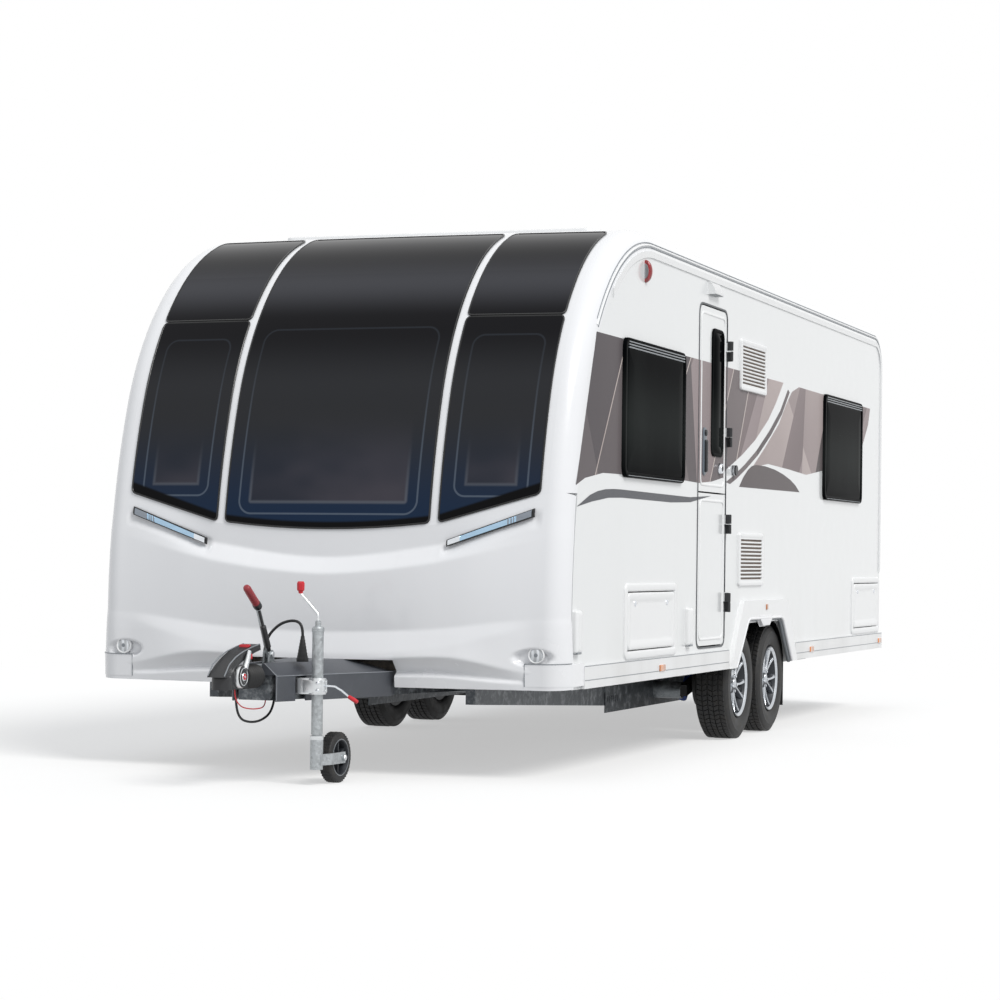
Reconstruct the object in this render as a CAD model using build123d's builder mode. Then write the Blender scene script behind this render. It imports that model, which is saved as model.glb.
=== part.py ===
from build123d import *
import os
from math import asin, cos, degrees, pi, radians, sin, sqrt, tan

# A twin-axle touring caravan parked on its jockey wheel. Millimetres, Z up from the ground.
# Y runs from the hitch (-) to the rear (+), and +X is the side with the door.

os.makedirs("parts", exist_ok=True)

overrun = 200.0  # how far a cut runs past what it cuts
seat_gap = 0.3  # running gap between faces that almost touch

# Body: the length from the front panel to the rear panel, the width over the walls, the heights.
nose_y = -2879.0
rear_y = 3905.0
half_width = 1108.0
skirt_z = 390.0
roof_z = 2505.0
wall = 32.0
front_run = 1275.0  # how far the flat roof starts behind the front panel
bow_radius = 14000.0  # the front is gently bowed across its width
edge_radius = 100.0  # rounding between the walls and the front, roof and rear
rear_top_radius = 290.0
body_height = roof_z - skirt_z
body_length = rear_y - nose_y
# Front outline from the bottom edge to the roof: (share of front_run back, share of body_height up).
nose_shares = [(0.008, 0), (0, 0.109), (0.0235, 0.336), (0.129, 0.6), (0.447, 0.879), (1, 1)]
roof_seam_y = nose_y + front_run
rear_seam_y = rear_y - rear_top_radius
seam_margin = 2.0  # how far a side wall's joint lies inside the flat of the wall
roof_panel_y = (roof_seam_y + 60.0, rear_seam_y - 25.0)  # the roof's joints lie on its flat
front_seam_z = 1243.0  # the lower front panel ends here at the corners

# Floor, wheels and axles.
floor_z = 460.0
floor_thickness = 40.0
wheel_radius = 298.0
tyre_width = 185.0
rim_radius = 182.0
wheel_inset = 118.0  # from the wall to the middle of a tyre
wheel_x = half_width - wheel_inset
first_axle_y = 275.0
axle_spacing = 690.0
axle_places = [first_axle_y, first_axle_y + axle_spacing]
moving_gap = 8.0
tyre_gap = 25.0


def bow_at(x):
    """How far the bowed front falls back at a distance x from the middle."""
    return bow_radius - sqrt(bow_radius**2 - x**2)


def slab(x, y, z, mode=Mode.ADD):
    """A block between two limits along each axis."""
    middle = ((x[0] + x[1]) / 2, (y[0] + y[1]) / 2, (z[0] + z[1]) / 2)
    with Locations(middle):
        Box(x[1] - x[0], y[1] - y[0], z[1] - z[0], mode=mode)


def mirrored_slab(x, y, z, mode=Mode.ADD):
    """The same block on both sides of the caravan."""
    slab(x, y, z, mode)
    slab((-x[1], -x[0]), y, z, mode)


def save(part, name):
    part.label = name
    export_step(part, f"parts/{name}.step")


def nose_outline(front, forward, back, bottom):
    """Draw the front outline from the roof down and close it at the back."""
    points = [(front - forward * behind * front_run, skirt_z + up * body_height) for behind, up in nose_shares]
    low, lip, chin, brow, crown, roof = points
    top = Line((back, roof[1]), roof)
    over = TangentArc(roof, crown, tangent=top % 1)
    face = TangentArc(crown, brow, tangent=over % 1)
    front_arc = TangentArc(brow, chin, tangent=face % 1)
    TangentArc(chin, lip, tangent=front_arc % 1)
    foot = (low[0], bottom)
    Line(lip, low)
    if bottom < skirt_z:
        Line(low, foot)
    Line(foot, (back, bottom))
    Line((back, bottom), (back, roof[1]))


def rear_outline(front, bottom):
    """Draw the rear half's outline with its rounded top corner."""
    inset = rear_top_radius * (1 - sqrt(2) / 2)
    lower = [(rear_seam_y, roof_z), (front, roof_z), (front, bottom), (rear_y, bottom)]
    Polyline(*lower, (rear_y, roof_z - rear_top_radius))
    ThreePointArc(
        (rear_y, roof_z - rear_top_radius), (rear_y - inset, roof_z - inset), (rear_seam_y, roof_z)
    )


def body_form(grow):
    """The closed form of the body, grown outwards by a distance."""
    centre_y = nose_y + bow_radius
    turn = degrees(asin((half_width + overrun) / (bow_radius - front_run - overrun)))
    side = (sin(radians(turn)), -cos(radians(turn)), 0)
    normal = (-cos(radians(turn)), -sin(radians(turn)), 0)
    width = half_width + grow
    with BuildPart() as form:
        with BuildSketch(Plane(origin=(0, centre_y, 0), x_dir=side, z_dir=normal)):
            with BuildLine():
                nose_outline(bow_radius, 1, bow_radius - front_run - overrun, skirt_z)
            make_face()
            if grow:
                offset(amount=grow, kind=Kind.INTERSECTION)
        revolve(axis=Axis((0, centre_y, 0), (0, 0, -1)), revolution_arc=2 * turn)
        slab((-width, width), (2 * nose_y, rear_y), (-roof_z, 2 * roof_z), Mode.INTERSECT)
        with BuildSketch(Plane.YZ):
            with BuildLine():
                rear_outline(roof_seam_y + overrun / 2, skirt_z)
            make_face()
            if grow:
                offset(amount=grow, kind=Kind.INTERSECTION)
        extrude(amount=width, both=True)
        outline = form.edges().filter_by(
            lambda edge: abs(abs(edge.center().X) - width) < seat_gap and edge.center().Z > skirt_z + wall + 1
        )
        fillet(outline, edge_radius + grow)
    return form.part


# The body's outer form and the hollow inside it, open below.
outer_form = body_form(0)
inner_form = body_form(-wall)
with BuildPart() as shell:
    add(outer_form)
    add(inner_form, mode=Mode.SUBTRACT)
    slab(
        (wall - half_width, half_width - wall),
        (nose_y + 2 * wall, rear_y - wall),
        (0, skirt_z + 2 * wall),
        Mode.SUBTRACT,
    )


def wall_area(inset, x_from, x_to):
    """A plate over the flat of a side wall, inset from the body's outline."""
    with BuildPart() as area:
        with BuildSketch(Plane.YZ.offset(x_from)):
            with BuildLine():
                nose_outline(nose_y + bow_at(half_width), -1, roof_seam_y + overrun, skirt_z - inset)
            make_face()
            with BuildLine():
                rear_outline(roof_seam_y + overrun / 2, skirt_z - inset)
            make_face()
            offset(amount=-inset, kind=Kind.INTERSECTION)
        extrude(amount=x_to - x_from)
    return area.part


# Front window panes: centre, side upper and side lower, seen from the front as (x, z) corners.
pane_stand = 6.0
pane_overlap = 22.0
pane_radius = 22.0
pane_top_drop = 40.0
pane_top_z = roof_z - pane_top_drop
centre_pane_share = 0.44  # of half_width, at the pane's edge
side_pane_share = 0.478  # of half_width, at the pane's inner edge
centre_pane_x = centre_pane_share * half_width
side_pane_inner_x = side_pane_share * half_width
side_pane_margin = 130.0
side_pane_outer_x = half_width - side_pane_margin
pane_split_drop = 477.0
pane_split_z = roof_z - pane_split_drop
pane_split_gap = 8.0
side_pane_low_inner_z = 1106.0
side_pane_low_outer_z = 1234.0
centre_pane_low_z = 1104.0
centre_pane_sag = 28.0  # the centre pane and the seam under it curve down towards the middle
seam_drop = 9.0
pane_outlines = {
    "front_pane_centre": [
        (-centre_pane_x, pane_top_z),
        (-centre_pane_x, centre_pane_low_z),
        (centre_pane_x, centre_pane_low_z),
        (centre_pane_x, pane_top_z),
    ],
    "front_panes_upper": [
        (side_pane_inner_x, pane_top_z),
        (side_pane_inner_x, pane_split_z + pane_split_gap / 2),
        (side_pane_outer_x, pane_split_z + pane_split_gap / 2),
        (side_pane_outer_x, pane_top_z),
    ],
    "front_panes_lower": [
        (side_pane_inner_x, pane_split_z - pane_split_gap / 2),
        (side_pane_inner_x, side_pane_low_inner_z),
        (side_pane_outer_x, side_pane_low_outer_z),
        (side_pane_outer_x, pane_split_z - pane_split_gap / 2),
    ],
}


def front_prism(points, inset, radius, sag=0.0):
    """A prism along Y from an outline seen from the front; its second side may sag in an arc."""
    with BuildPart() as prism:
        with BuildSketch(Plane.XZ.offset(-roof_seam_y)) as face:
            with BuildLine():
                if sag:
                    low_left, low_right = points[1], points[2]
                    Polyline(low_right, *points[3:], points[0], low_left)
                    ThreePointArc(low_left, (0, low_left[1] - sag), low_right)
                else:
                    Polyline(*points, close=True)
            make_face()
            if inset:
                offset(amount=-inset, kind=Kind.INTERSECTION)
            fillet(face.vertices(), radius)
        extrude(amount=front_run + overrun)
    return prism.part


def both_sides(solid):
    return solid + mirror(solid, about=Plane.YZ)


pane_prisms = {}
pane_holes = {}
for pane_name, corners in pane_outlines.items():
    sag = centre_pane_sag if pane_name == "front_pane_centre" else 0
    hole = front_prism(corners, pane_overlap, pane_radius / 2, sag)
    pane_prisms[pane_name] = front_prism(corners, 0, pane_radius, sag)
    pane_holes[pane_name] = both_sides(hole) if corners[0][0] > 0 else hole

pane_layer = body_form(pane_stand) - outer_form
save(pane_layer & pane_prisms["front_pane_centre"], "front_pane_centre")
side_pane_prisms = pane_prisms["front_panes_upper"] + pane_prisms["front_panes_lower"]
save(both_sides(pane_layer & side_pane_prisms), "front_side_panes")

# Side openings: (y from, y to, z from, z to), shared by a wall and what fills the opening.
window_low_z = 1342.0
window_top_drop = 548.0
window_top_z = roof_z - window_top_drop
front_window = (-2030.0, -1040.0, window_low_z, window_top_z)
rear_window_side = (2090.0, 3145.0, window_low_z, window_top_z)
middle_window = (-560.0, 440.0, window_low_z, window_top_z)
door_top_drop = 255.0
door_area = (-730.0, -190.0, 515.0, roof_z - door_top_drop)
door_split_z = 1300.0
front_locker = (-1970.0, -1115.0, 495.0, 845.0)
rear_locker = (2950.0, 3790.0, 497.0, 860.0)
service_hatch = (1650.0, 1950.0, 620.0, 900.0)
window_overlap = 22.0
window_stand = 14.0
window_radius = 45.0
door_radius = 62.0
hatch_radius = 30.0
locker_frame = 38.0
locker_stand = 9.0


def side_prism(area, x_from, x_to, grow=0.0, radius=window_radius):
    """A block with rounded corners along X over an area (y from, y to, z from, z to)."""
    y_from, y_to, z_from, z_to = area
    with BuildPart() as prism:
        with BuildSketch(Plane.YZ.offset(min(x_from, x_to))):
            with Locations(((y_from + y_to) / 2, (z_from + z_to) / 2)):
                corner_radius = max(radius + grow, wall / 4)
                RectangleRounded(y_to - y_from + 2 * grow, z_to - z_from + 2 * grow, corner_radius)
        extrude(amount=abs(x_to - x_from))
    return prism.part


def arch_prism(x_from, x_to, gap):
    """The outline of both tyres and the space between them, open downwards."""
    radius = wheel_radius + gap
    with BuildPart() as prism:
        with BuildSketch(Plane.YZ.offset(x_from)):
            with Locations(*[(y, wheel_radius) for y in axle_places]):
                Circle(radius)
            with Locations((sum(axle_places) / 2, wheel_radius)):
                Rectangle(axle_spacing, 2 * radius)
            with Locations((sum(axle_places) / 2, 0)):
                Rectangle(axle_spacing + 2 * radius, 2 * wheel_radius)
        extrude(amount=x_to - x_from)
    return prism.part


# Side walls: flat sandwich panels with the openings cut through.
inner_x = half_width - wall
through = (inner_x - wall, half_width + wall)
wall_cut = wall_area(edge_radius + seam_margin, half_width - edge_radius, half_width + wall)
right_wall_cut = mirror(wall_cut, about=Plane.YZ)
side_openings = {
    "side_wall_left": [front_window, rear_window_side],
    "side_wall_right": [front_window, middle_window, rear_window_side],
}
arch_cut = arch_prism(*through, tyre_gap)
with BuildPart() as side_wall_left:
    add(shell.part & wall_cut)
    for window_area in side_openings["side_wall_left"]:
        add(side_prism(window_area, *through, grow=-window_overlap), mode=Mode.SUBTRACT)
    add(side_prism(door_area, *through, radius=door_radius), mode=Mode.SUBTRACT)
    for locker_area in (front_locker, rear_locker):
        add(side_prism(locker_area, *through, grow=-locker_frame, radius=locker_frame), mode=Mode.SUBTRACT)
    add(arch_cut, mode=Mode.SUBTRACT)
save(side_wall_left.part, "side_wall_left")

with BuildPart() as side_wall_right:
    add(shell.part & right_wall_cut)
    for window_area in side_openings["side_wall_right"]:
        cutter = side_prism(window_area, *through, grow=-window_overlap)
        add(mirror(cutter, about=Plane.YZ), mode=Mode.SUBTRACT)
    hatch_cut = side_prism(service_hatch, *through, radius=hatch_radius)
    add(mirror(hatch_cut, about=Plane.YZ), mode=Mode.SUBTRACT)
    add(mirror(arch_cut, about=Plane.YZ), mode=Mode.SUBTRACT)
save(side_wall_right.part, "side_wall_right")

# The ring round the two walls, split into the front surround, lower front panel, roof and rear panel.
ring = shell.part - wall_cut - right_wall_cut
coupling_cut_x = 345.0
coupling_cut_z = 514.0
seam_low_z = side_pane_low_inner_z - seam_drop
seam_points = [
    (side_pane_inner_x, seam_low_z),
    (side_pane_outer_x, front_seam_z - seam_drop),
    (half_width + overrun, front_seam_z),
    (half_width + overrun, skirt_z - overrun),
    (-half_width - overrun, skirt_z - overrun),
    (-half_width - overrun, front_seam_z),
    (-side_pane_outer_x, front_seam_z - seam_drop),
    (-side_pane_inner_x, seam_low_z),
]
with BuildPart() as lower_area:
    with BuildSketch(Plane.XZ.offset(-roof_panel_y[0] - overrun)):
        with BuildLine():
            Polyline(*seam_points)
            ThreePointArc(seam_points[-1], (0, seam_low_z - centre_pane_sag), seam_points[0])
        make_face()
    extrude(amount=front_run + 3 * overrun)
front_ring = ring & Box(
    4 * half_width,
    body_length,
    4 * roof_z,
).moved(Location((0, roof_panel_y[0] - body_length / 2, 0)))

lamp_inset = 123.0
lamp_x = half_width - lamp_inset
lamp_z = 541.0
lamp_radius = 34.0
lamp_stand = 5.0
with BuildPart() as front_lower_panel:
    add(front_ring & lower_area.part)
    slab(
        (-coupling_cut_x, coupling_cut_x),
        (nose_y - overrun, nose_y + overrun),
        (skirt_z - overrun, coupling_cut_z),
        Mode.SUBTRACT,
    )
    with Locations(*[Location((x, nose_y, lamp_z), (90, 0, 0)) for x in (-lamp_x, lamp_x)]):
        Cylinder(lamp_radius + seat_gap, 2 * overrun, mode=Mode.SUBTRACT)
save(front_lower_panel.part, "front_lower_panel")

with BuildPart() as front_surround:
    add(front_ring - lower_area.part)
    for hole in pane_holes.values():
        add(hole, mode=Mode.SUBTRACT)
save(front_surround.part, "front_surround")

rear_pane_share = 0.505  # of half_width, at the pane's edge
rear_pane_x = rear_pane_share * half_width
rear_pane_lift = 58.0
rear_pane = (-rear_pane_x, rear_pane_x, window_low_z + rear_pane_lift, window_top_z)  # x from, x to, z from, z to
with BuildPart() as rear_opening:
    with BuildSketch(Plane.XZ.offset(-rear_y - wall)):
        with Locations((0, (rear_pane[2] + rear_pane[3]) / 2)):
            RectangleRounded(
                rear_pane[1] - rear_pane[0] - 2 * window_overlap,
                rear_pane[3] - rear_pane[2] - 2 * window_overlap,
                window_radius,
            )
    extrude(amount=overrun)
with BuildPart() as rear_panel:
    add(ring)
    slab(
        (-half_width - overrun, half_width + overrun),
        (roof_panel_y[1], rear_y + overrun),
        (skirt_z - overrun, roof_z + overrun),
        Mode.INTERSECT,
    )
    add(rear_opening.part, mode=Mode.SUBTRACT)
save(rear_panel.part, "rear_panel")

lid_front_y = -1560.0
lid_length = 880.0
lid_inset = 308.0
lid_half_width = half_width - lid_inset
lid_frame = 60.0
with BuildPart() as roof_panel:
    add(ring)
    slab(
        (-half_width - overrun, half_width + overrun),
        roof_panel_y,
        (roof_z / 2, roof_z + overrun),
        Mode.INTERSECT,
    )
    slab(
        (lid_frame - lid_half_width, lid_half_width - lid_frame),
        (lid_front_y + 2 * lid_frame, lid_front_y + lid_length - lid_frame),
        (roof_z - 2 * wall, roof_z + overrun),
        Mode.SUBTRACT,
    )
save(roof_panel.part, "roof_panel")

# Floor, cut away over the wheels, and the boxes that close the wheel spaces.
well_depth = 248.0
well_inner_x = half_width - well_depth
well_top_z = 655.0
well_wall = 5.0
well_front_y = first_axle_y - wheel_radius - 2 * tyre_gap
well_rear_y = first_axle_y + axle_spacing + wheel_radius + 2 * tyre_gap
with BuildPart() as floor_panel:
    add(body_form(-wall - seat_gap))
    slab(
        (-half_width, half_width), (nose_y, rear_y), (floor_z, floor_z + floor_thickness), Mode.INTERSECT
    )
    mirrored_slab(
        (well_inner_x - seat_gap, half_width),
        (well_front_y - seat_gap, well_rear_y + seat_gap),
        (floor_z - overrun, floor_z + overrun),
        Mode.SUBTRACT,
    )
save(floor_panel.part, "floor_panel")

with BuildPart() as wheel_wells:
    mirrored_slab((well_inner_x, inner_x - seat_gap), (well_front_y, well_rear_y), (floor_z, well_top_z))
    mirrored_slab(
        (well_inner_x + well_wall, half_width),
        (well_front_y + well_wall, well_rear_y - well_wall),
        (skirt_z - overrun, well_top_z - well_wall),
        Mode.SUBTRACT,
    )
save(wheel_wells.part, "wheel_wells")

# Windows: proud acrylic panes over their openings at the sides and the rear.
with BuildPart() as body_windows:
    for window_area in side_openings["side_wall_left"]:
        add(side_prism(window_area, half_width, half_width + window_stand))
    for window_area in side_openings["side_wall_right"]:
        add(mirror(side_prism(window_area, half_width, half_width + window_stand), about=Plane.YZ))
    with BuildSketch(Plane.XZ.offset(-rear_y)):
        with Locations((0, (rear_pane[2] + rear_pane[3]) / 2)):
            RectangleRounded(rear_pane[1] - rear_pane[0], rear_pane[3] - rear_pane[2], window_radius)
    extrude(amount=-window_stand)
save(body_windows.part, "body_windows")
with BuildPart() as hatch:
    hatch_form = side_prism(service_hatch, inner_x, half_width + seat_gap, -seat_gap, hatch_radius)
    add(mirror(hatch_form, about=Plane.YZ))
    add(
        mirror(
            side_prism(service_hatch, half_width, half_width + locker_stand, wall / 2, hatch_radius),
            about=Plane.YZ,
        )
    )

# Entrance door in two halves, hinged at its rear edge on pins that stand proud of the wall.
hinge_stand = 25.0
hinge_radius = 8.0
hinge_length = 96.0
hinge_leaf = 6.0
hinge_leaf_width = 30.0
hinge_gap = 2 * seat_gap
hinge_x = half_width + hinge_stand
hinge_y = door_area[1]
hinge_shares = {"door_lower": [0.284, 0.803], "door_upper": [0.312, 0.785]}  # up each half of the door
door_window_drop = 370.0
door_window = (-490.0, -270.0, 1496.0, roof_z - door_window_drop)
door_thickness = wall
halves = {
    "door_lower": (door_area[2] + moving_gap, door_split_z - moving_gap / 2),
    "door_upper": (door_split_z + moving_gap / 2, door_area[3] - moving_gap),
}
hinge_heights = {
    half_name: [z_from + share * (z_to - z_from) for share in hinge_shares[half_name]]
    for half_name, (z_from, z_to) in halves.items()
}


def knuckle(z_from, z_to):
    """One half of a hinge's barrel round its pin."""
    with Locations((hinge_x, hinge_y, (z_from + z_to) / 2)):
        Cylinder(hinge_radius, z_to - z_from)


for half_name, (z_from, z_to) in halves.items():
    with BuildPart() as door:
        add(side_prism(door_area, half_width - door_thickness, half_width, -moving_gap, door_radius))
        slab((0, 2 * half_width), (2 * nose_y, rear_y), (z_from, z_to), Mode.INTERSECT)
        if half_name == "door_upper":
            add(side_prism(door_window, *through, grow=-window_overlap), mode=Mode.SUBTRACT)
        for height in hinge_heights[half_name]:
            z_low = height + hinge_gap / 2
            z_high = height + hinge_length / 2
            knuckle(z_low, z_high)
            leaf_x = (half_width - hinge_leaf, hinge_x)
            slab(
                leaf_x,
                (hinge_y - moving_gap - hinge_leaf, hinge_y - moving_gap),
                (z_low, z_high),
            )
            slab(
                (hinge_x - hinge_leaf, hinge_x),
                (hinge_y - moving_gap, hinge_y),
                (z_low, z_high),
            )
            slab(
                (half_width, half_width + hinge_leaf),
                (hinge_y - hinge_leaf_width, hinge_y - moving_gap),
                (z_low, z_high),
            )
    save(door.part, half_name)

with BuildPart() as door_hinges:
    for height in hinge_heights["door_lower"] + hinge_heights["door_upper"]:
        z_low = height - hinge_length / 2
        z_high = height - hinge_gap / 2
        knuckle(z_low, z_high)
        slab((half_width, hinge_x), (hinge_y + hinge_leaf / 2, hinge_y + 2 * hinge_leaf), (z_low, z_high))
        slab(
            (half_width, half_width + hinge_leaf),
            (hinge_y + hinge_leaf, hinge_y + hinge_leaf_width),
            (z_low, z_high),
        )

with BuildPart() as door_pane:
    add(side_prism(door_window, half_width, half_width + window_stand))
save(door_pane.part, "door_window")

handle_area = (-650.0, -600.0, 1390.0, 1620.0)
handle_stand = 22.0
catch_radius = 27.0
catch_stand = 24.0
catch_z = 1430.0
catch_reach = 140.0  # how far the catch on the door and the one on the wall lie from the hinge
with BuildPart() as door_handle:
    add(side_prism(handle_area, half_width, half_width + handle_stand, radius=2 * hinge_leaf))
    with Locations(Location((half_width + catch_stand / 2, hinge_y - catch_reach, catch_z), (0, 90, 0))):
        Cylinder(catch_radius, catch_stand)
save(door_handle.part, "door_handle")
with BuildPart() as door_fittings:
    add(door_hinges.part)
    with Locations(Location((half_width + catch_stand / 2, hinge_y + catch_reach, catch_z), (0, 90, 0))):
        Cylinder(catch_radius, catch_stand)
save(door_fittings.part, "door_fittings")

# Refrigerator vents: framed grilles with level slots.
vent_height = 272.0
vent_drop = 369.0
vent_top_z = roof_z - vent_drop
vent_areas = [(75.0, 635.0, vent_top_z - vent_height, vent_top_z), (75.0, 600.0, 821.0, 1105.0)]
vent_stand = 13.0
vent_slots = 11
vent_margin = 30.0
slot_share = 0.52
with BuildPart() as fridge_vents:
    for y_from, y_to, z_from, z_to in vent_areas:
        slab((half_width, half_width + vent_stand), (y_from, y_to), (z_from, z_to))
        pitch = (z_to - z_from - 2 * vent_margin) / vent_slots
        for number in range(vent_slots):
            slot_z = z_from + vent_margin + (number + 1 / 2) * pitch
            slab(
                (half_width + vent_stand / 3, half_width + 2 * vent_stand),
                (y_from + vent_margin, y_to - vent_margin),
                (slot_z - pitch * slot_share / 2, slot_z + pitch * slot_share / 2),
                Mode.SUBTRACT,
            )
save(fridge_vents.part, "fridge_vents")

# Outside lockers: a frame on the wall and a door that drops on its bottom edge.
locker_hinge_radius = moving_gap / 2 - seat_gap
locker_hinge_x = half_width + locker_stand + hinge_gap
with BuildPart() as locker_frames:
    for locker_area in (front_locker, rear_locker):
        add(side_prism(locker_area, half_width, half_width + locker_stand, radius=locker_frame))
        cutter = side_prism(locker_area, *through, grow=-locker_frame, radius=locker_frame)
        add(cutter, mode=Mode.SUBTRACT)
    add(hatch.part)
save(locker_frames.part, "locker_frames")
for locker_name, locker_area in (("locker_door_front", front_locker), ("locker_door_rear", rear_locker)):
    with BuildPart() as locker_door:
        add(
            side_prism(
                locker_area,
                half_width - wall / 2,
                half_width + locker_stand,
                -locker_frame - moving_gap,
                locker_frame,
            )
        )
        hinge_z = locker_area[2] + locker_frame + moving_gap / 2
        hinge_ends = (locker_area[0] + 3 * locker_frame, locker_area[1] - 3 * locker_frame)
        with Locations(Location((locker_hinge_x, sum(hinge_ends) / 2, hinge_z), (90, 0, 0))):
            Cylinder(locker_hinge_radius, hinge_ends[1] - hinge_ends[0])
        slab(
            (locker_hinge_x - locker_hinge_radius, locker_hinge_x),
            hinge_ends,
            (hinge_z, hinge_z + 2 * locker_hinge_radius),
        )
    save(locker_door.part, locker_name)

# Trim on the walls: awning rails, skirt rails, grab mouldings, marker lamps.
rail_stand = 6.0
rail_height = 30.0
rail_front_y = -2200.0
with BuildPart() as awning_rails:
    add(wall_area(edge_radius, half_width, half_width + rail_stand))
    add(wall_area(edge_radius + rail_height, half_width, half_width + rail_stand), mode=Mode.SUBTRACT)
    slab((0, 2 * half_width), (rail_front_y, rear_y), (rear_locker[3] + rail_height, roof_z), Mode.INTERSECT)
    mirror(about=Plane.YZ)

skirt_rail_height = 100.0
skirt_rail_stand = 17.0
skirt_front_y = -2600.0
skirt_rear_y = 3840.0
spat_front_y = -131.0
spat_rear_y = 1371.0
with BuildPart() as skirt_rails:
    rail_x = (half_width, half_width + skirt_rail_stand)
    mirrored_slab(rail_x, (skirt_front_y, spat_front_y - seat_gap), (skirt_z, skirt_z + skirt_rail_height))
    mirrored_slab(rail_x, (spat_rear_y + seat_gap, skirt_rear_y), (skirt_z, skirt_z + skirt_rail_height))
with BuildPart() as side_rails:
    add(awning_rails.part)
    add(skirt_rails.part)
save(side_rails.part, "side_rails")

# Wheel spats: a raised surround with sloped ends over each pair of wheels.
spat_stand = 27.0
spat_top_z = 742.0
spat_top_inset = 261.0
spat_opening_front_y = -8.0
spat_opening_top_z = 645.0
spat_opening_inset = 243.0
spat_radius = 60.0
axle_middle_y = sum(axle_places) / 2


def spat_outline(foot_y, top_inset, top_z, bottom_z):
    """Draw a trapezium over the wheels."""
    foot = axle_middle_y - foot_y
    Polyline(
        (axle_middle_y - foot, bottom_z),
        (axle_middle_y - foot + top_inset, top_z),
        (axle_middle_y + foot - top_inset, top_z),
        (axle_middle_y + foot, bottom_z),
        close=True,
    )


with BuildPart() as wheel_spats:
    with BuildSketch(Plane.YZ.offset(half_width)) as spat_face:
        with BuildLine():
            spat_outline(spat_front_y, spat_top_inset, spat_top_z, skirt_z)
        make_face()
        fillet(spat_face.vertices().group_by(Axis.Y)[-1], spat_radius)
    extrude(amount=spat_stand)
    with BuildSketch(Plane.YZ.offset(half_width)) as opening_face:
        with BuildLine():
            spat_outline(spat_opening_front_y, spat_opening_inset, spat_opening_top_z, skirt_z)
        make_face()
        fillet(opening_face.vertices().group_by(Axis.Y)[-1], spat_radius)
    extrude(amount=spat_stand, mode=Mode.SUBTRACT)
    mirror(about=Plane.YZ)
save(wheel_spats.part, "wheel_spats")

grab_places = [(-2690.0, 640.0), (-898.0, 626.0)]
grab_width = 78.0
grab_height = 186.0
grab_stand = 24.0
with BuildPart() as grab_mouldings:
    for y, z in grab_places:
        mirrored_slab(
            (half_width, half_width + grab_stand),
            (y - grab_width / 2, y + grab_width / 2),
            (z - grab_height / 2, z + grab_height / 2),
        )
save(grab_mouldings.part, "grab_mouldings")

amber_places = [-1400.0, 1764.0, 3755.0]
amber_length = 100.0
amber_height = 36.0
amber_stand = 12.0
with BuildPart() as amber_markers:
    for y in amber_places:
        mirrored_slab(
            (half_width + skirt_rail_stand, half_width + skirt_rail_stand + amber_stand),
            (y - amber_length / 2, y + amber_length / 2),
            (skirt_z + skirt_rail_height / 2 - amber_height / 2, skirt_z + skirt_rail_height / 2 + amber_height / 2),
        )

high_marker_y = -1690.0
high_marker_drop = 215.0
high_marker_z = roof_z - high_marker_drop
high_marker_radius = 55.0
high_marker_width = 30.0
high_marker_stand = 34.0
with BuildPart() as high_markers:
    with BuildSketch(Plane.XZ.offset(-high_marker_y)):
        with Locations((half_width, high_marker_z)):
            Ellipse(high_marker_stand, high_marker_radius)
    extrude(amount=high_marker_width / 2, both=True)
    slab((half_width, 2 * half_width), (2 * nose_y, rear_y), (0, roof_z), Mode.INTERSECT)
    mirror(about=Plane.YZ)
with BuildPart() as side_markers:
    add(amber_markers.part)
    add(high_markers.part)
save(side_markers.part, "side_markers")

awning_lamp_y = -478.0
awning_lamp_drop = 165.0
awning_lamp_z = roof_z - awning_lamp_drop
awning_lamp_size = (34.0, 190.0, 60.0)
with BuildPart() as awning_lamp:
    slab(
        (half_width, half_width + awning_lamp_size[0]),
        (awning_lamp_y - awning_lamp_size[1] / 2, awning_lamp_y + awning_lamp_size[1] / 2),
        (awning_lamp_z - awning_lamp_size[2] / 2, awning_lamp_z + awning_lamp_size[2] / 2),
    )

# Front trim: bumper corner caps, bright handles under the side panes, round position lamps.
cap_stand = 14.0
cap_width = 173.0
cap_inner_x = half_width - cap_width
cap_top_z = 502.0
cap_bottom_z = 405.0
with BuildPart() as bumper_corners:
    add(body_form(cap_stand) - outer_form)
    slab(
        (-half_width - overrun, half_width + overrun),
        (nose_y - overrun, skirt_front_y - seat_gap),
        (cap_bottom_z, cap_top_z),
        Mode.INTERSECT,
    )
    slab((-cap_inner_x, cap_inner_x), (nose_y - overrun, 0), (0, roof_z), Mode.SUBTRACT)
save(bumper_corners.part, "bumper_corners")

handle_insets = (40.0, 10.0, 7.0)  # from the pane's inner edge, from its outer edge, of the sloping ends
handle_inner_x = side_pane_inner_x + handle_insets[0]
handle_outer_x = side_pane_outer_x - handle_insets[1]
bright_handle = [
    (handle_inner_x + handle_insets[2], 1001.0),
    (handle_outer_x - handle_insets[2], 1132.0),
    (handle_outer_x, 1165.0),
    (handle_inner_x, 1029.0),
]
bright_stand = 16.0
with BuildPart() as bright_handles:
    add((body_form(bright_stand) - outer_form) & front_prism(bright_handle, 0, seat_gap * 10))
    mirror(about=Plane.YZ)
save(bright_handles.part, "bright_handles")

with BuildPart() as front_lamps:
    lamp_front_y = nose_y + bow_at(lamp_x) - lamp_stand
    with Locations(*[Location((x, lamp_front_y + wall / 2, lamp_z), (90, 0, 0)) for x in (-lamp_x, lamp_x)]):
        Cylinder(lamp_radius, wall)
    add(awning_lamp.part)
save(front_lamps.part, "white_lamps")

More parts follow.
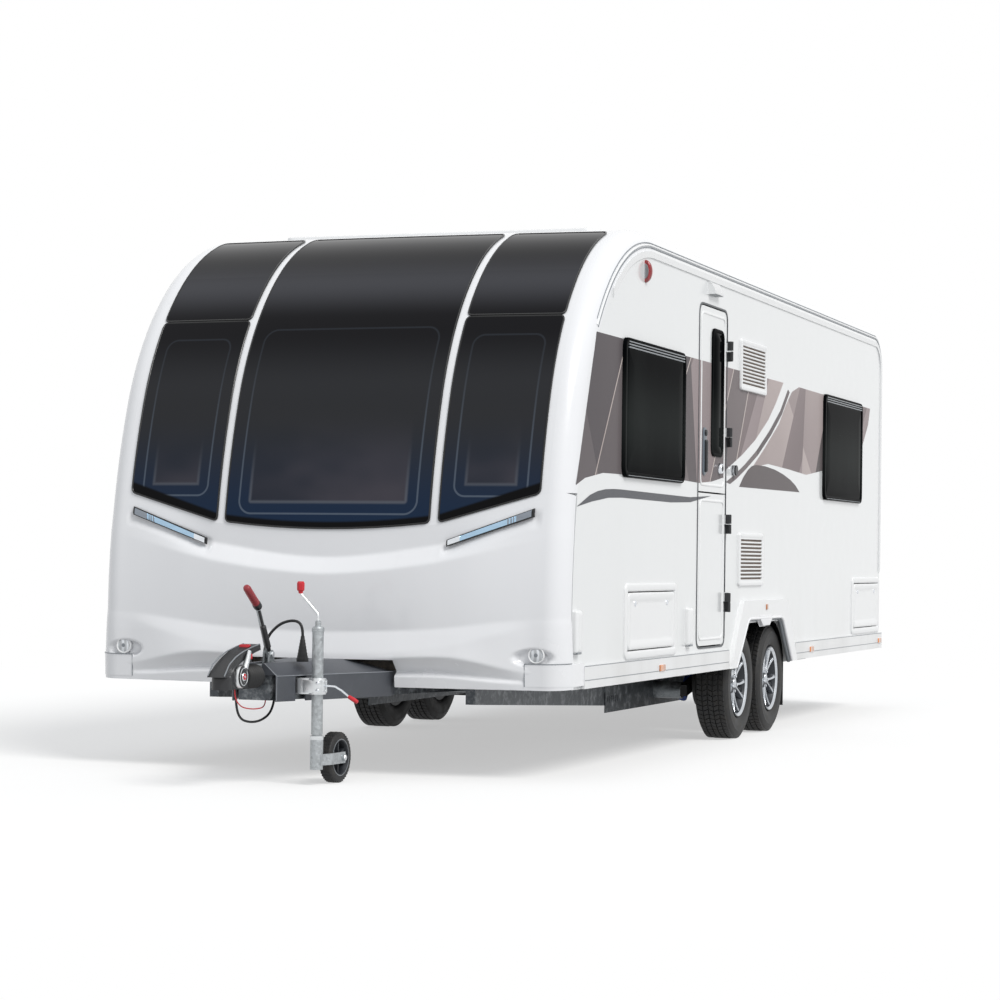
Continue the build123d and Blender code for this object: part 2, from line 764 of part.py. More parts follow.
# Roof: a wedge-shaped lid over the front rooflight, hinged at its low front edge, and two vents.
lid_stand = 8.0
lid_front_height = 20.0
lid_rear_height = 78.0
lid_wall = 6.0
lid_crest_share = 0.8  # how far back the lid is highest
lid_tail_share = 0.9  # the height of its rear edge, of its highest
lid_bottom = roof_z + lid_stand
lid_ends = (lid_front_y, lid_front_y + lid_length)


def lid_form(inset):
    """The lid's wedge, inset on its front, top and rear, and at its sides."""
    with BuildPart() as form:
        with BuildSketch(Plane.YZ):
            with BuildLine():
                Polyline(
                    (lid_ends[0] + inset, lid_bottom),
                    (lid_ends[0] + inset, lid_bottom + lid_front_height - inset),
                    (lid_ends[0] + lid_length * lid_crest_share, lid_bottom + lid_rear_height - inset),
                    (lid_ends[1] - inset, lid_bottom + lid_rear_height * lid_tail_share - inset),
                    (lid_ends[1] - inset, lid_bottom + lid_front_height),
                    (lid_ends[1] - lid_frame - inset, lid_bottom),
                    close=True,
                )
            make_face()
        extrude(amount=lid_half_width - inset, both=True)
    return form.part


with BuildPart() as roof_lid:
    add(lid_form(0))
    add(lid_form(lid_wall), mode=Mode.SUBTRACT)
save(roof_lid.part, "roof_lid")

with BuildPart() as roof_frame:
    slab(
        (-lid_half_width + lid_frame / 2, lid_half_width - lid_frame / 2),
        (lid_front_y + lid_frame, lid_front_y + lid_length - lid_frame / 2),
        (roof_z, roof_z + lid_stand - seat_gap),
    )
    slab(
        (lid_frame - lid_half_width, lid_half_width - lid_frame),
        (lid_front_y + 2 * lid_frame, lid_front_y + lid_length - lid_frame),
        (roof_z, roof_z + overrun),
        Mode.SUBTRACT,
    )

vent_places = [800.0, 2700.0]
roof_vent_size = (420.0, 420.0, 55.0)
with BuildPart() as roof_vents:
    for y in vent_places:
        slab(
            (-roof_vent_size[0] / 2, roof_vent_size[0] / 2),
            (y - roof_vent_size[1] / 2, y + roof_vent_size[1] / 2),
            (roof_z, roof_z + roof_vent_size[2]),
        )
    add(roof_frame.part)
save(roof_vents.part, "roof_fittings")

# Rear bumper with its lamp clusters, and a blank plate holder.
tail_y = 3930.0
bumper_z = (395.0, 640.0)
cluster_insets = (248.0, 98.0)
lamp_cluster = (half_width - cluster_insets[0], half_width - cluster_insets[1], 660.0, 1010.0)  # x from, x to, z from, z to
plate_size = (520.0, 120.0)
plate_z = 560.0
plate_thickness = 4.0
bumper_half_width = half_width - edge_radius
with BuildPart() as rear_bumper:
    slab((-bumper_half_width, bumper_half_width), (rear_y, tail_y - plate_thickness), bumper_z)
with BuildPart() as rear_lamps:
    mirrored_slab(lamp_cluster[:2], (rear_y, tail_y - plate_thickness), lamp_cluster[2:])
save(rear_lamps.part, "rear_lamps")
with BuildPart() as bumper_and_plate:
    add(rear_bumper.part)
    slab(
        (-plate_size[0] / 2, plate_size[0] / 2),
        (tail_y - plate_thickness, tail_y),
        (plate_z - plate_size[1] / 2, plate_z + plate_size[1] / 2),
    )
save(bumper_and_plate.part, "rear_bumper")

# Chassis: two main rails with cross members, joined to an A-shaped drawbar that runs under the front.
rail_x = 620.0
rail_thickness = 45.0
rail_bottom_z = 310.0
rail_ends = (-2660.0, 3700.0)
drawbar_bottom_z = 355.0
drawbar_top_z = floor_z
drawbar_joint_y = -1900.0
drawbar_nose_y = -3560.0
drawbar_nose_x = 52.0
drawbar_thickness = 40.0
cross_places = [-2400.0, -1700.0, -600.0, 1900.0, 3300.0]
cross_width = 50.0
rail_deep_y = -770.0  # the rails are deepest here, ahead of the axles
rail_deep_z = 215.0
rail_rise = 120.0  # how far behind that place they are shallow again
side_plate_y = (rail_deep_y, 690.0)
side_plate_z = (178.0, 400.0)
side_plate_thickness = 6.0
plate_slots = 6
plate_slot_size = (12.0, 34.0)
plate_slot_pitch = 34.0
axle_tube_radius = 45.0
axle_lead = 150.0  # how far an axle tube lies ahead of the wheel centre
axle_saddle = 6.0
axle_z = rail_bottom_z - axle_tube_radius - axle_saddle


def drawbar_x(y):
    """The middle of a drawbar member at a place along the caravan."""
    along = (y - drawbar_nose_y) / (drawbar_joint_y - drawbar_nose_y)
    return drawbar_nose_x + along * (rail_x - drawbar_nose_x)


plate_x = rail_x + rail_thickness / 2
with BuildPart() as side_plates:
    mirrored_slab((plate_x, plate_x + side_plate_thickness), side_plate_y, side_plate_z)
    with Locations(Location((0, axle_places[0] - axle_lead, axle_z), (0, 90, 0))):
        Cylinder(axle_tube_radius + seat_gap, 2 * half_width, mode=Mode.SUBTRACT)
    slot_middle_z = (side_plate_z[0] + rail_bottom_z) / 2
    for number in range(plate_slots):
        slot_y = side_plate_y[0] + (number + 1) * plate_slot_pitch
        mirrored_slab(
            (plate_x, plate_x + side_plate_thickness),
            (slot_y, slot_y + plate_slot_size[0]),
            (slot_middle_z - plate_slot_size[1] / 2, slot_middle_z + plate_slot_size[1] / 2),
            Mode.SUBTRACT,
        )
with BuildPart() as main_rails:
    with BuildSketch(Plane.YZ.offset(rail_x - rail_thickness / 2)):
        with BuildLine():
            Polyline(
                (rail_ends[0], floor_z),
                (rail_ends[0], rail_bottom_z),
                (rail_deep_y, rail_deep_z),
                (rail_deep_y + rail_rise, rail_bottom_z),
                (rail_ends[1], rail_bottom_z),
                (rail_ends[1], floor_z),
                close=True,
            )
        make_face()
    extrude(amount=rail_thickness)
    mirror(about=Plane.YZ)
with BuildPart() as chassis_frame:
    add(main_rails.part)
    add(side_plates.part)
    for y in cross_places:
        slab((-rail_x, rail_x), (y - cross_width / 2, y + cross_width / 2), (rail_bottom_z + cross_width, floor_z))
    with BuildSketch(Plane.XY.offset(drawbar_bottom_z)):
        with BuildLine():
            Polyline(
                (drawbar_nose_x - drawbar_thickness / 2, drawbar_nose_y),
                (drawbar_nose_x + drawbar_thickness / 2, drawbar_nose_y),
                (rail_x + drawbar_thickness / 2, drawbar_joint_y),
                (rail_x - drawbar_thickness / 2, drawbar_joint_y),
                close=True,
            )
        make_face()
        mirror(about=Plane.YZ)
    extrude(amount=drawbar_top_z - drawbar_bottom_z)
    slab(
        (-drawbar_nose_x, drawbar_nose_x),
        (drawbar_nose_y, drawbar_nose_y + 3 * cross_width),
        (drawbar_bottom_z, drawbar_top_z),
    )
save(chassis_frame.part, "chassis_frame")

# Axles: a tube across the rails, a trailing arm, a drum and a damper at each wheel.
axle_end_inset = 190.0
axle_end_x = wheel_x - axle_end_inset
arm_width = 36.0
arm_x = (axle_end_x, axle_end_x + arm_width)
arm_height = 60.0
drum_width = 60.0
drum_inner_x = arm_x[1] + 9.0
drum_radius = 128.0
drum_outer_x = drum_inner_x + drum_width
with BuildPart() as axle_beams:
    for y in axle_places:
        with Locations(Location((0, y - axle_lead, axle_z), (0, 90, 0))):
            Cylinder(axle_tube_radius, 2 * axle_end_x)
        mirrored_slab(
            (rail_x - rail_thickness / 2, rail_x + rail_thickness / 2),
            (y - axle_lead - axle_tube_radius, y - axle_lead + axle_tube_radius),
            (axle_z, rail_bottom_z),
        )
save(axle_beams.part, "axle_beams")
with BuildPart() as trailing_arms:
    for y in axle_places:
        with BuildSketch(Plane.YZ.offset(arm_x[0])):
            with BuildLine():
                Polyline(
                    (y - axle_lead - axle_tube_radius, axle_z - arm_height / 2),
                    (y + arm_height / 2, wheel_radius - arm_height / 2),
                    (y + arm_height / 2, wheel_radius + arm_height / 2),
                    (y - axle_lead - axle_tube_radius, axle_z + arm_height / 2),
                    close=True,
                )
            make_face()
        extrude(amount=arm_x[1] - arm_x[0])
        with Locations(Location(((arm_x[1] + drum_inner_x) / 2, y, wheel_radius), (0, 90, 0))):
            Cylinder(arm_height / 2, drum_inner_x - arm_x[1])

        with Locations(Location(((drum_inner_x + drum_outer_x) / 2, y, wheel_radius), (0, 90, 0))):
            Cylinder(drum_radius, drum_outer_x - drum_inner_x)
    mirror(about=Plane.YZ)
save(trailing_arms.part, "trailing_arms")

damper_radius = 24.0
damper_x = arm_x[0] - damper_radius - seat_gap
damper_top_drop = 40.0
damper_top_z = floor_z - damper_top_drop
damper_reach = 175.0
with BuildPart() as dampers:
    for y in axle_places:
        low = Vector(damper_x, y - arm_height, axle_z - axle_tube_radius)
        high = Vector(damper_x, y + damper_reach, damper_top_z)
        direction = high - low
        with BuildSketch(Plane(origin=low, z_dir=direction)):
            Circle(damper_radius)
        extrude(amount=direction.length)
    mirror(about=Plane.YZ)
save(dampers.part, "dampers")

# Wheels: a tyre with a shoulder and a dished rim with five spokes.
tyre_shoulder = 26.0
spoke_count = 5
rim_lip = 10.0
rim_depth = 150.0
hub_radius = 66.0
spoke_width = 62.0
spoke_thickness = 26.0
hub_inset = 12.0


def tyre_part(x, y):
    """A tyre with rounded shoulders, centred at a wheel's place."""
    with BuildPart() as tyre:
        with BuildSketch(Plane.XY.offset(-tyre_width / 2)):
            Circle(wheel_radius)
            Circle(rim_radius, mode=Mode.SUBTRACT)
        extrude(amount=tyre_width)
        outer = tyre.edges().filter_by(GeomType.CIRCLE).sort_by(SortBy.RADIUS)[-2:]
        fillet(outer, tyre_shoulder)
    return tyre.part.moved(Location((x, y, wheel_radius), (0, 90, 0)))


def rim_part(x, y):
    """A rim whose outside face looks along +Z before it is placed."""
    half = tyre_width / 2
    with BuildPart() as rim:
        with BuildSketch(Plane.XY.offset(half - rim_depth)):
            Circle(rim_radius - seat_gap)
            Circle(rim_radius - rim_lip, mode=Mode.SUBTRACT)
        extrude(amount=rim_depth - rim_lip / 2)
        with BuildSketch(Plane.XY.offset(half - hub_inset - spoke_thickness)):
            Circle(hub_radius)
            with PolarLocations((rim_radius - rim_lip / 2) / 2, spoke_count):
                Rectangle(rim_radius - rim_lip / 2, spoke_width)
        extrude(amount=spoke_thickness)
        with BuildSketch(Plane.XY.offset(drum_outer_x + seat_gap - wheel_x)):
            Circle(hub_radius)
        extrude(amount=half - hub_inset - drum_outer_x - seat_gap + wheel_x)
    turn = 90 if x > 0 else -90
    return rim.part.moved(Location((x, y, wheel_radius), (0, turn, 0)))


wheel_names = {
    "front_left": (wheel_x, axle_places[0]),
    "rear_left": (wheel_x, axle_places[1]),
    "front_right": (-wheel_x, axle_places[0]),
    "rear_right": (-wheel_x, axle_places[1]),
}
for place, (x, y) in wheel_names.items():
    save(tyre_part(x, y), f"tyre_{place}")
    save(rim_part(x, y), f"rim_{place}")

flap_y = well_rear_y - well_wall - 2 * hinge_leaf
flap_bottom_z = 130.0
with BuildPart() as mudflaps:
    mirrored_slab(
        (well_inner_x + 3 * well_wall, inner_x - 2 * well_wall),
        (flap_y + hinge_leaf, flap_y + 2 * hinge_leaf),
        (flap_bottom_z, well_top_z - 2 * wall * 3),
    )
save(mudflaps.part, "mudflaps")

# Corner steadies: a channel under the floor and a leg that folds up against it.
steady_inset = 328.0
steady_x = half_width - steady_inset
steady_length = 430.0
steady_width = 44.0
steady_channel_height = 24.0
steady_pin_drop = 58.0
steady_pin_z = floor_z - steady_pin_drop
foot_length = 110.0
foot_thickness = 12.0
steady_pivots = {"front": (-2040.0, -1), "rear": (3080.0, 1)}
with BuildPart() as steady_brackets:
    for pivot_y, direction in steady_pivots.values():
        ends = sorted((pivot_y - direction * 2 * steady_width, pivot_y + direction * steady_length))
        mirrored_slab(
            (steady_x - steady_width / 2, steady_x + steady_width / 2),
            ends,
            (floor_z - steady_channel_height, floor_z),
        )
        cheeks = sorted((pivot_y - direction * steady_width, pivot_y + direction * steady_width / 2))
        for edge in (-1, 1):
            middle = steady_x + edge * (steady_width / 2 + hinge_leaf / 2)
            mirrored_slab(
                (middle - hinge_leaf / 2, middle + hinge_leaf / 2),
                cheeks,
                (steady_pin_z - steady_width / 2, floor_z),
            )
save(steady_brackets.part, "steady_brackets")
leg_height = 26.0
for end_name, (pivot_y, direction) in steady_pivots.items():
    for side_name, side in (("left", 1), ("right", -1)):
        with BuildPart() as steady_leg:
            reach = sorted((pivot_y - direction * leg_height / 2, pivot_y + direction * steady_length))
            slab(
                (side * steady_x - steady_width / 2 + seat_gap, side * steady_x + steady_width / 2 - seat_gap),
                reach,
                (steady_pin_z - leg_height / 2, steady_pin_z + leg_height / 2),
            )
            foot = sorted(
                (pivot_y + direction * (steady_length - foot_length), pivot_y + direction * steady_length)
            )
            slab(
                (side * steady_x - steady_width, side * steady_x + steady_width),
                foot,
                (steady_pin_z - leg_height / 2 - foot_thickness, steady_pin_z - leg_height / 2),
            )
        save(steady_leg.part, f"steady_leg_{end_name}_{side_name}")

# Hitch: a coupling head with its socket, friction pads and handle, on the overrun device.
coupling_nose_y = -3930.0
coupling_back_y = -3690.0
coupling_z = 455.0
socket_bottom_z = 410.0
neck_width = 64.0
neck_top_z = 492.0
cup_radius = 40.0
cup_height = 40.0
ball_radius = 25.0
ball_clearance = 0.5
ball_y = -3872.0
socket_depth = 34.0
pad_radius = 44.0
pad_reach = 26.0
pad_place = (-3785.0, 461.0)
grip_width = 76.0
grip_nose_z = 462.0
grip_outer = [(coupling_nose_y, grip_nose_z), (-3760.0, 553.0), (-3590.0, 588.0)]
grip_inner = [(-3585.0, 564.0), (-3752.0, 524.0), (-3896.0, grip_nose_z)]
housing_front_y = drawbar_nose_y
housing_back_y = -3330.0
housing_top_z = 500.0
bellows_folds = 6
bellows_radii = (34.0, 50.0)


def rod(start, end, radius):
    """A round rod between two points."""
    start, end = Vector(*start), Vector(*end)
    with Locations(Plane(origin=(start + end) / 2, z_dir=end - start).location):
        Cylinder(radius, (end - start).length)


with BuildPart() as coupling_head:
    slab((-neck_width / 2, neck_width / 2), (ball_y, coupling_back_y), (socket_bottom_z, neck_top_z))
    with Locations((0, ball_y, socket_bottom_z + cup_height / 2)):
        Cylinder(cup_radius, cup_height)
    with Locations((0, ball_y, socket_bottom_z + cup_height)):
        Sphere(cup_radius)
    slab((-cup_radius, cup_radius), (coupling_nose_y, ball_y), (0, socket_bottom_z), Mode.SUBTRACT)
    rod(
        (-neck_width / 2 - pad_reach, *pad_place),
        (neck_width / 2 + pad_reach, *pad_place),
        pad_radius,
    )
    with BuildSketch(Plane.YZ.offset(-grip_width / 2)):
        with BuildLine():
            ThreePointArc(*grip_outer)
            Line(grip_outer[-1], grip_inner[0])
            ThreePointArc(*grip_inner)
            Line(grip_inner[-1], grip_outer[0])
        make_face()
    extrude(amount=grip_width)
    with Locations((0, ball_y, socket_bottom_z + socket_depth / 2)):
        Cylinder(ball_radius + ball_clearance, socket_depth, mode=Mode.SUBTRACT)
save(coupling_head.part, "coupling_head")

fold_pitch = (housing_front_y - coupling_back_y) / (2 * bellows_folds)
with BuildPart() as bellows:
    with BuildSketch(Plane.YZ):
        with BuildLine():
            folds = [
                (coupling_back_y + number * fold_pitch, coupling_z + bellows_radii[number % 2])
                for number in range(2 * bellows_folds + 1)
            ]
            Polyline((coupling_back_y, coupling_z), *folds, (housing_front_y, coupling_z), close=True)
        make_face()
    revolve(axis=Axis((0, 0, coupling_z), (0, 1, 0)))
with BuildPart() as overrun_housing:
    slab(
        (-drawbar_nose_x + drawbar_thickness / 2, drawbar_nose_x - drawbar_thickness / 2),
        (housing_front_y, housing_back_y),
        (drawbar_top_z, housing_top_z),
    )

# Handbrake: a lever on a pivot above the housing, leaning forward, with its grip bent further forward.
brake_pivot = (-3425.0, 540.0)  # y, z
brake_knee = (-3541.0, 745.0)
brake_tip = (-3654.0, 824.0)
brake_pivot_radius = 9.0
brake_lever_size = (26.0, 14.0)
brake_grip_radius = 16.0
brake_cheek = 8.0
brake_axle_half = brake_lever_size[1] / 2 + 2 * brake_cheek
with BuildPart() as overrun_device:
    add(bellows.part)
    add(overrun_housing.part)
    for edge in (-1, 1):
        middle = edge * (brake_lever_size[1] / 2 + brake_cheek / 2 + 1)
        slab(
            (middle - brake_cheek / 2, middle + brake_cheek / 2),
            (brake_pivot[0] - 3 * brake_cheek, brake_pivot[0] + 3 * brake_cheek),
            (housing_top_z, brake_pivot[1] + 2 * brake_cheek),
        )
    rod((-brake_axle_half, *brake_pivot), (brake_axle_half, *brake_pivot), brake_pivot_radius)
save(overrun_device.part, "overrun_device")
lever_half = brake_lever_size[1] / 2
brake_way = Vector(0, brake_knee[0] - brake_pivot[0], brake_knee[1] - brake_pivot[1])
with BuildPart() as handbrake_lever:
    with BuildSketch(Plane(origin=(0, *brake_pivot), x_dir=(1, 0, 0), z_dir=brake_way)):
        Rectangle(brake_lever_size[1], brake_lever_size[0])
    extrude(amount=brake_way.length)
    rod((0, *brake_knee), (0, *brake_tip), brake_grip_radius)
    with Locations((0, *brake_knee)):
        Sphere(brake_grip_radius)
    rod((-lever_half, *brake_pivot), (lever_half, *brake_pivot), 2 * brake_pivot_radius)
    with Locations(Location((0, *brake_pivot), (0, 90, 0))):
        Cylinder(brake_pivot_radius + seat_gap, brake_lever_size[1], mode=Mode.SUBTRACT)
save(handbrake_lever.part, "handbrake_lever")

# Jockey wheel: where its tube stands, and the clamp that holds it.
jockey_x = 222.0
jockey_y = -3420.0
jockey_outer_radius = 24.0
clamp_z = (379.0, 446.0)
clamp_wall = 12.0

# Moulded fairing over the drawbar, open below: upright sides, sloping shoulders and a narrow flat top.
fairing_front_y = drawbar_nose_y
fairing_back_y = nose_y + wall / 2
fairing_low_x = (100.0, 335.0)  # half width of the upright sides at the front and at the back
fairing_top_x = (44.0, 130.0)  # half width of the flat top
fairing_bottom_z = 350.0
fairing_edge_z = 456.0
fairing_top_gap = 6.0
fairing_top_z = coupling_cut_z - fairing_top_gap
fairing_wall = 6.0


def fairing_corners(half_widths, inset):
    """The fairing seen from above at one height, inset all round."""
    front, back = (half_width - inset for half_width in half_widths)
    y_from, y_to = fairing_front_y + inset, fairing_back_y - inset
    return [(-front, y_from), (front, y_from), (back, y_to), (-back, y_to)]


def fairing_form(inset):
    """The fairing's outer form, or with an inset the hollow in it."""
    bottom = fairing_bottom_z - (overrun if inset else 0)
    with BuildPart() as form:
        with BuildSketch(Plane.XY.offset(bottom)):
            Polygon(*fairing_corners(fairing_low_x, inset), align=None)
        extrude(amount=fairing_edge_z - bottom)
        with BuildSketch(Plane.XY.offset(fairing_edge_z)):
            Polygon(*fairing_corners(fairing_low_x, inset), align=None)
        with BuildSketch(Plane.XY.offset(fairing_top_z - inset)):
            Polygon(*fairing_corners(fairing_top_x, inset), align=None)
        loft()
    return form.part


with BuildPart() as drawbar_fairing:
    add(fairing_form(0))
    add(fairing_form(fairing_wall), mode=Mode.SUBTRACT)
    back_x = drawbar_x(fairing_back_y) + drawbar_thickness / 2 + 1
    slab(
        (-back_x, back_x),
        (fairing_back_y - 3 * fairing_wall, fairing_back_y + fairing_wall),
        (fairing_bottom_z - overrun, drawbar_top_z + seat_gap),
        Mode.SUBTRACT,
    )
    open_x = fairing_low_x[0] - fairing_wall
    slab(
        (-open_x, open_x),
        (fairing_front_y - overrun, fairing_front_y + 2 * fairing_wall),
        (fairing_bottom_z - overrun, drawbar_top_z + seat_gap),
        Mode.SUBTRACT,
    )
    slot_x = drawbar_nose_x - drawbar_thickness / 2 + seat_gap
    slab(
        (-slot_x, slot_x),
        (fairing_front_y - overrun, brake_pivot[0] + 6 * brake_cheek),
        (drawbar_top_z, 2 * fairing_top_z),
        Mode.SUBTRACT,
    )
    slab(
        (fairing_low_x[0], jockey_x),
        (jockey_y - 2 * clamp_wall - moving_gap, jockey_y + 2 * clamp_wall + moving_gap),
        (fairing_bottom_z - overrun, clamp_z[1] + moving_gap),
        Mode.SUBTRACT,
    )
save(drawbar_fairing.part, "drawbar_fairing")

# Leads: a 13-pin lead that arcs into its parked plug, a loop under the coupling and a breakaway cable.
lead_radius = 6.0
lead_y = -3345.0
plug_x = 119.0
lead_x = -58.0
lead_route = [(lead_x, fairing_top_z + seat_gap), (lead_x, 590.0), (3.0, 664.0), (78.0, 686.0), (plug_x, 664.0)]
loop_radius = 5.0
loop_route = [
    (-3740.0, socket_bottom_z - seat_gap),
    (-3740.0, 345.0),
    (-3700.0, 284.0),
    (-3600.0, 264.0),
    (-3490.0, 266.0),
    (-3390.0, 296.0),
    (-3352.0, 372.0),
    (-3352.0, drawbar_top_z - seat_gap),
]
cable_radius = 2.5
cable_x = 24.0
cable_route = [
    (-3800.0, socket_bottom_z - seat_gap),
    (-3800.0, 374.0),
    (-3745.0, 338.0),
    (-3680.0, 326.0),
    (-3600.0, 320.0),
    (-3504.0, 324.0),
    (-3504.0, drawbar_bottom_z - seat_gap),
]
plug_radii = (8.0, 20.0)
plug_height = 22.0
plug_z = (fairing_top_z, fairing_top_z + plug_height, 618.0)  # foot, top of the plug, top of its sleeve
plug_body_radius = 25.0


bend_share = 0.45  # how much of a run each of its bends may take


def bend_radii(route):
    """A radius for each bend of a route, as large as its shorter run allows."""
    points = [Vector(*point) for point in route]
    radii = []
    for before, corner, after in zip(points, points[1:], points[2:]):
        run_in, run_out = corner - before, after - corner
        turn = radians(run_in.get_angle(run_out))
        radii.append(bend_share * min(run_in.length, run_out.length) / tan(turn / 2))
    return radii


lead_route.append((plug_x, plug_z[2] + seat_gap))
hitch_cords = {
    "lead": (Plane.XZ.offset(-lead_y), lead_route, lead_radius),
    "loop": (Plane.YZ, loop_route, loop_radius),
    "cable": (Plane.YZ.offset(cable_x), cable_route, cable_radius),
}
cord_solids = []
for cord_name, (cord_plane, route, radius) in hitch_cords.items():
    with BuildPart() as cord:
        with BuildLine(cord_plane) as cord_path:
            FilletPolyline(*route, radius=bend_radii(route))
        cord_wire = cord_path.wire()
        with BuildSketch(Plane(origin=cord_wire @ 0, z_dir=cord_wire % 0)):
            Circle(radius)
        sweep()
    cord_length = cord_wire.length
    full_volume = cord_length * pi * radius**2
    print(cord_name, "bend radii", [round(bend) for bend in bend_radii(route)], "length", round(cord_length))
    print(cord_name, "volume over a full round cord", round(cord.part.volume / full_volume, 4))
    cord_solids.append(cord.part)
with BuildPart() as hitch_leads:
    for cord_solid in cord_solids:
        add(cord_solid)
save(hitch_leads.part, "hitch_leads")

with BuildPart() as lead_plug:
    with Locations((plug_x, lead_y, sum(plug_z[1:]) / 2)):
        Cone(plug_radii[1], plug_radii[0], plug_z[2] - plug_z[1])
    slab(
        (plug_x - plug_body_radius, plug_x + plug_body_radius),
        (lead_y - plug_body_radius, lead_y + plug_body_radius),
        (fairing_edge_z, plug_z[1]),
    )
    add(fairing_form(0), mode=Mode.SUBTRACT)
save(lead_plug.part, "lead_plug")

# The jockey wheel's outer tube with its crank, its clamp and its inner tube.
jockey_tube_wall = 3.0
jockey_inner_radius = 20.5
jockey_outer_z = (212.0, 652.0)
jockey_inner_z = (72.0 + seat_gap, 500.0)
sleeve_radius = 27.0
sleeve_gap = 6.0
sleeve_z = (66.0, jockey_outer_z[0] - sleeve_gap)
sleeve_floor = 6.0
jockey_wheel_radius = 107.5
jockey_wheel_width = 56.0
jockey_trail = 160.0
jockey_turn = 3.0
jockey_axle_radius = 8.0
jockey_collar = 6.0
arm_plate = 6.0
arm_height_z = (84.0, 131.0)
arm_set = 6.0  # how far the wheel's middle lies beside the tube's
nut_size = (14.0, 9.0)
crank_bend_z = 715.0
crank_reach = (-81.0, 81.0)  # along x and z from the bend to the knob
crank_radius = 6.0
knob_radius = 17.0
knob_length = 52.0
clamp_lever = [(jockey_outer_radius + clamp_wall, 416.0), (142.0, 372.0), (183.0, 350.0)]  # from the tube, z
clamp_lever_radii = (5.0, 9.0)

with BuildPart() as jockey_tube:
    with Locations((jockey_x, jockey_y, sum(jockey_outer_z) / 2)):
        Cylinder(jockey_outer_radius, jockey_outer_z[1] - jockey_outer_z[0])
    with Locations((jockey_x, jockey_y, sum(jockey_outer_z) / 2 - jockey_tube_wall)):
        Cylinder(
            jockey_outer_radius - jockey_tube_wall,
            jockey_outer_z[1] - jockey_outer_z[0],
            mode=Mode.SUBTRACT,
        )
    bend = (jockey_x, jockey_y, crank_bend_z)
    knob_foot = (jockey_x + crank_reach[0], jockey_y, crank_bend_z + crank_reach[1])
    rod((jockey_x, jockey_y, jockey_outer_z[1] - jockey_tube_wall), bend, crank_radius)
    with Locations(bend):
        Sphere(crank_radius)
    rod(bend, knob_foot, crank_radius)
    rod(knob_foot, (knob_foot[0], jockey_y, knob_foot[2] + knob_length), knob_radius)
save(jockey_tube.part, "jockey_tube")

with BuildPart() as jockey_clamp:
    with Locations((jockey_x, jockey_y, sum(clamp_z) / 2)):
        Cylinder(jockey_outer_radius + clamp_wall, clamp_z[1] - clamp_z[0])
    slab(
        (drawbar_x(jockey_y + 2 * clamp_wall) + drawbar_thickness / 2 + seat_gap, jockey_x),
        (jockey_y - 2 * clamp_wall, jockey_y + 2 * clamp_wall),
        clamp_z,
    )
    with Locations((jockey_x, jockey_y, sum(clamp_z) / 2)):
        Cylinder(jockey_outer_radius + seat_gap, clamp_z[1] - clamp_z[0], mode=Mode.SUBTRACT)
    lever_points = [(jockey_x + reach, jockey_y, z) for reach, z in clamp_lever]
    rod(lever_points[0], lever_points[1], clamp_lever_radii[0])
    rod(lever_points[1], lever_points[2], clamp_lever_radii[1])
save(jockey_clamp.part, "jockey_clamp")

with BuildPart() as jockey_inner:
    with Locations((jockey_x, jockey_y, sum(jockey_inner_z) / 2)):
        Cylinder(jockey_inner_radius, jockey_inner_z[1] - jockey_inner_z[0])
save(jockey_inner.part, "jockey_inner_tube")

# The swivelling sleeve, its arm and the wheel are drawn in a frame whose x axis is the wheel's axle.
jockey_frame = Location((jockey_x, jockey_y, 0), (0, 0, -jockey_turn))
wheel_side_x = arm_set + jockey_wheel_width / 2
arm_x_from = wheel_side_x + jockey_collar
arm_rear_y = jockey_trail + nut_size[0] + jockey_collar
with BuildPart() as fork_blank:
    with Locations((0, 0, sum(sleeve_z) / 2)):
        Cylinder(sleeve_radius, sleeve_z[1] - sleeve_z[0])
    with BuildSketch(Plane.XY.offset(arm_height_z[0])):
        Polygon(
            (sleeve_radius - arm_plate, -sleeve_radius / 2),
            (sleeve_radius, -sleeve_radius / 2),
            (arm_x_from + arm_plate, 2 * sleeve_radius),
            (arm_x_from + arm_plate, arm_rear_y),
            (arm_x_from, arm_rear_y),
            (arm_x_from, 2 * sleeve_radius),
            align=None,
        )
    extrude(amount=arm_height_z[1] - arm_height_z[0])
    with Locations((0, 0, sum(sleeve_z) / 2 + sleeve_floor)):
        Cylinder(jockey_inner_radius + seat_gap, sleeve_z[1] - sleeve_z[0], mode=Mode.SUBTRACT)
    rod(
        (arm_set - jockey_wheel_width / 2 - jockey_collar, jockey_trail, jockey_wheel_radius),
        (arm_x_from + arm_plate, jockey_trail, jockey_wheel_radius),
        jockey_axle_radius,
    )
    rod(
        (arm_x_from + arm_plate, jockey_trail, jockey_wheel_radius),
        (arm_x_from + arm_plate + nut_size[1], jockey_trail, jockey_wheel_radius),
        nut_size[0],
    )
jockey_fork = fork_blank.part.moved(jockey_frame)
save(jockey_fork, "jockey_fork")

jockey_rim_radius = 74.0
jockey_rim_depth = 12.0
jockey_hub_radius = 22.0
jockey_tread_radius = 10.0
with BuildPart() as jockey_wheel_blank:
    with Locations(Location((arm_set, jockey_trail, jockey_wheel_radius), (0, 90, 0))):
        Cylinder(jockey_wheel_radius, jockey_wheel_width)
    rims = jockey_wheel_blank.edges().filter_by(GeomType.CIRCLE)
    fillet(rims, jockey_tread_radius)
    for side in (-1, 1):
        face_x = arm_set + side * (jockey_wheel_width - jockey_rim_depth) / 2
        with Locations(Location((face_x, jockey_trail, jockey_wheel_radius), (0, 90, 0))):
            Cylinder(jockey_rim_radius, jockey_rim_depth, mode=Mode.SUBTRACT)
            Cylinder(jockey_hub_radius, jockey_rim_depth)
    with Locations(Location((arm_set, jockey_trail, jockey_wheel_radius), (0, 90, 0))):
        Cylinder(jockey_axle_radius + seat_gap, jockey_wheel_width, mode=Mode.SUBTRACT)
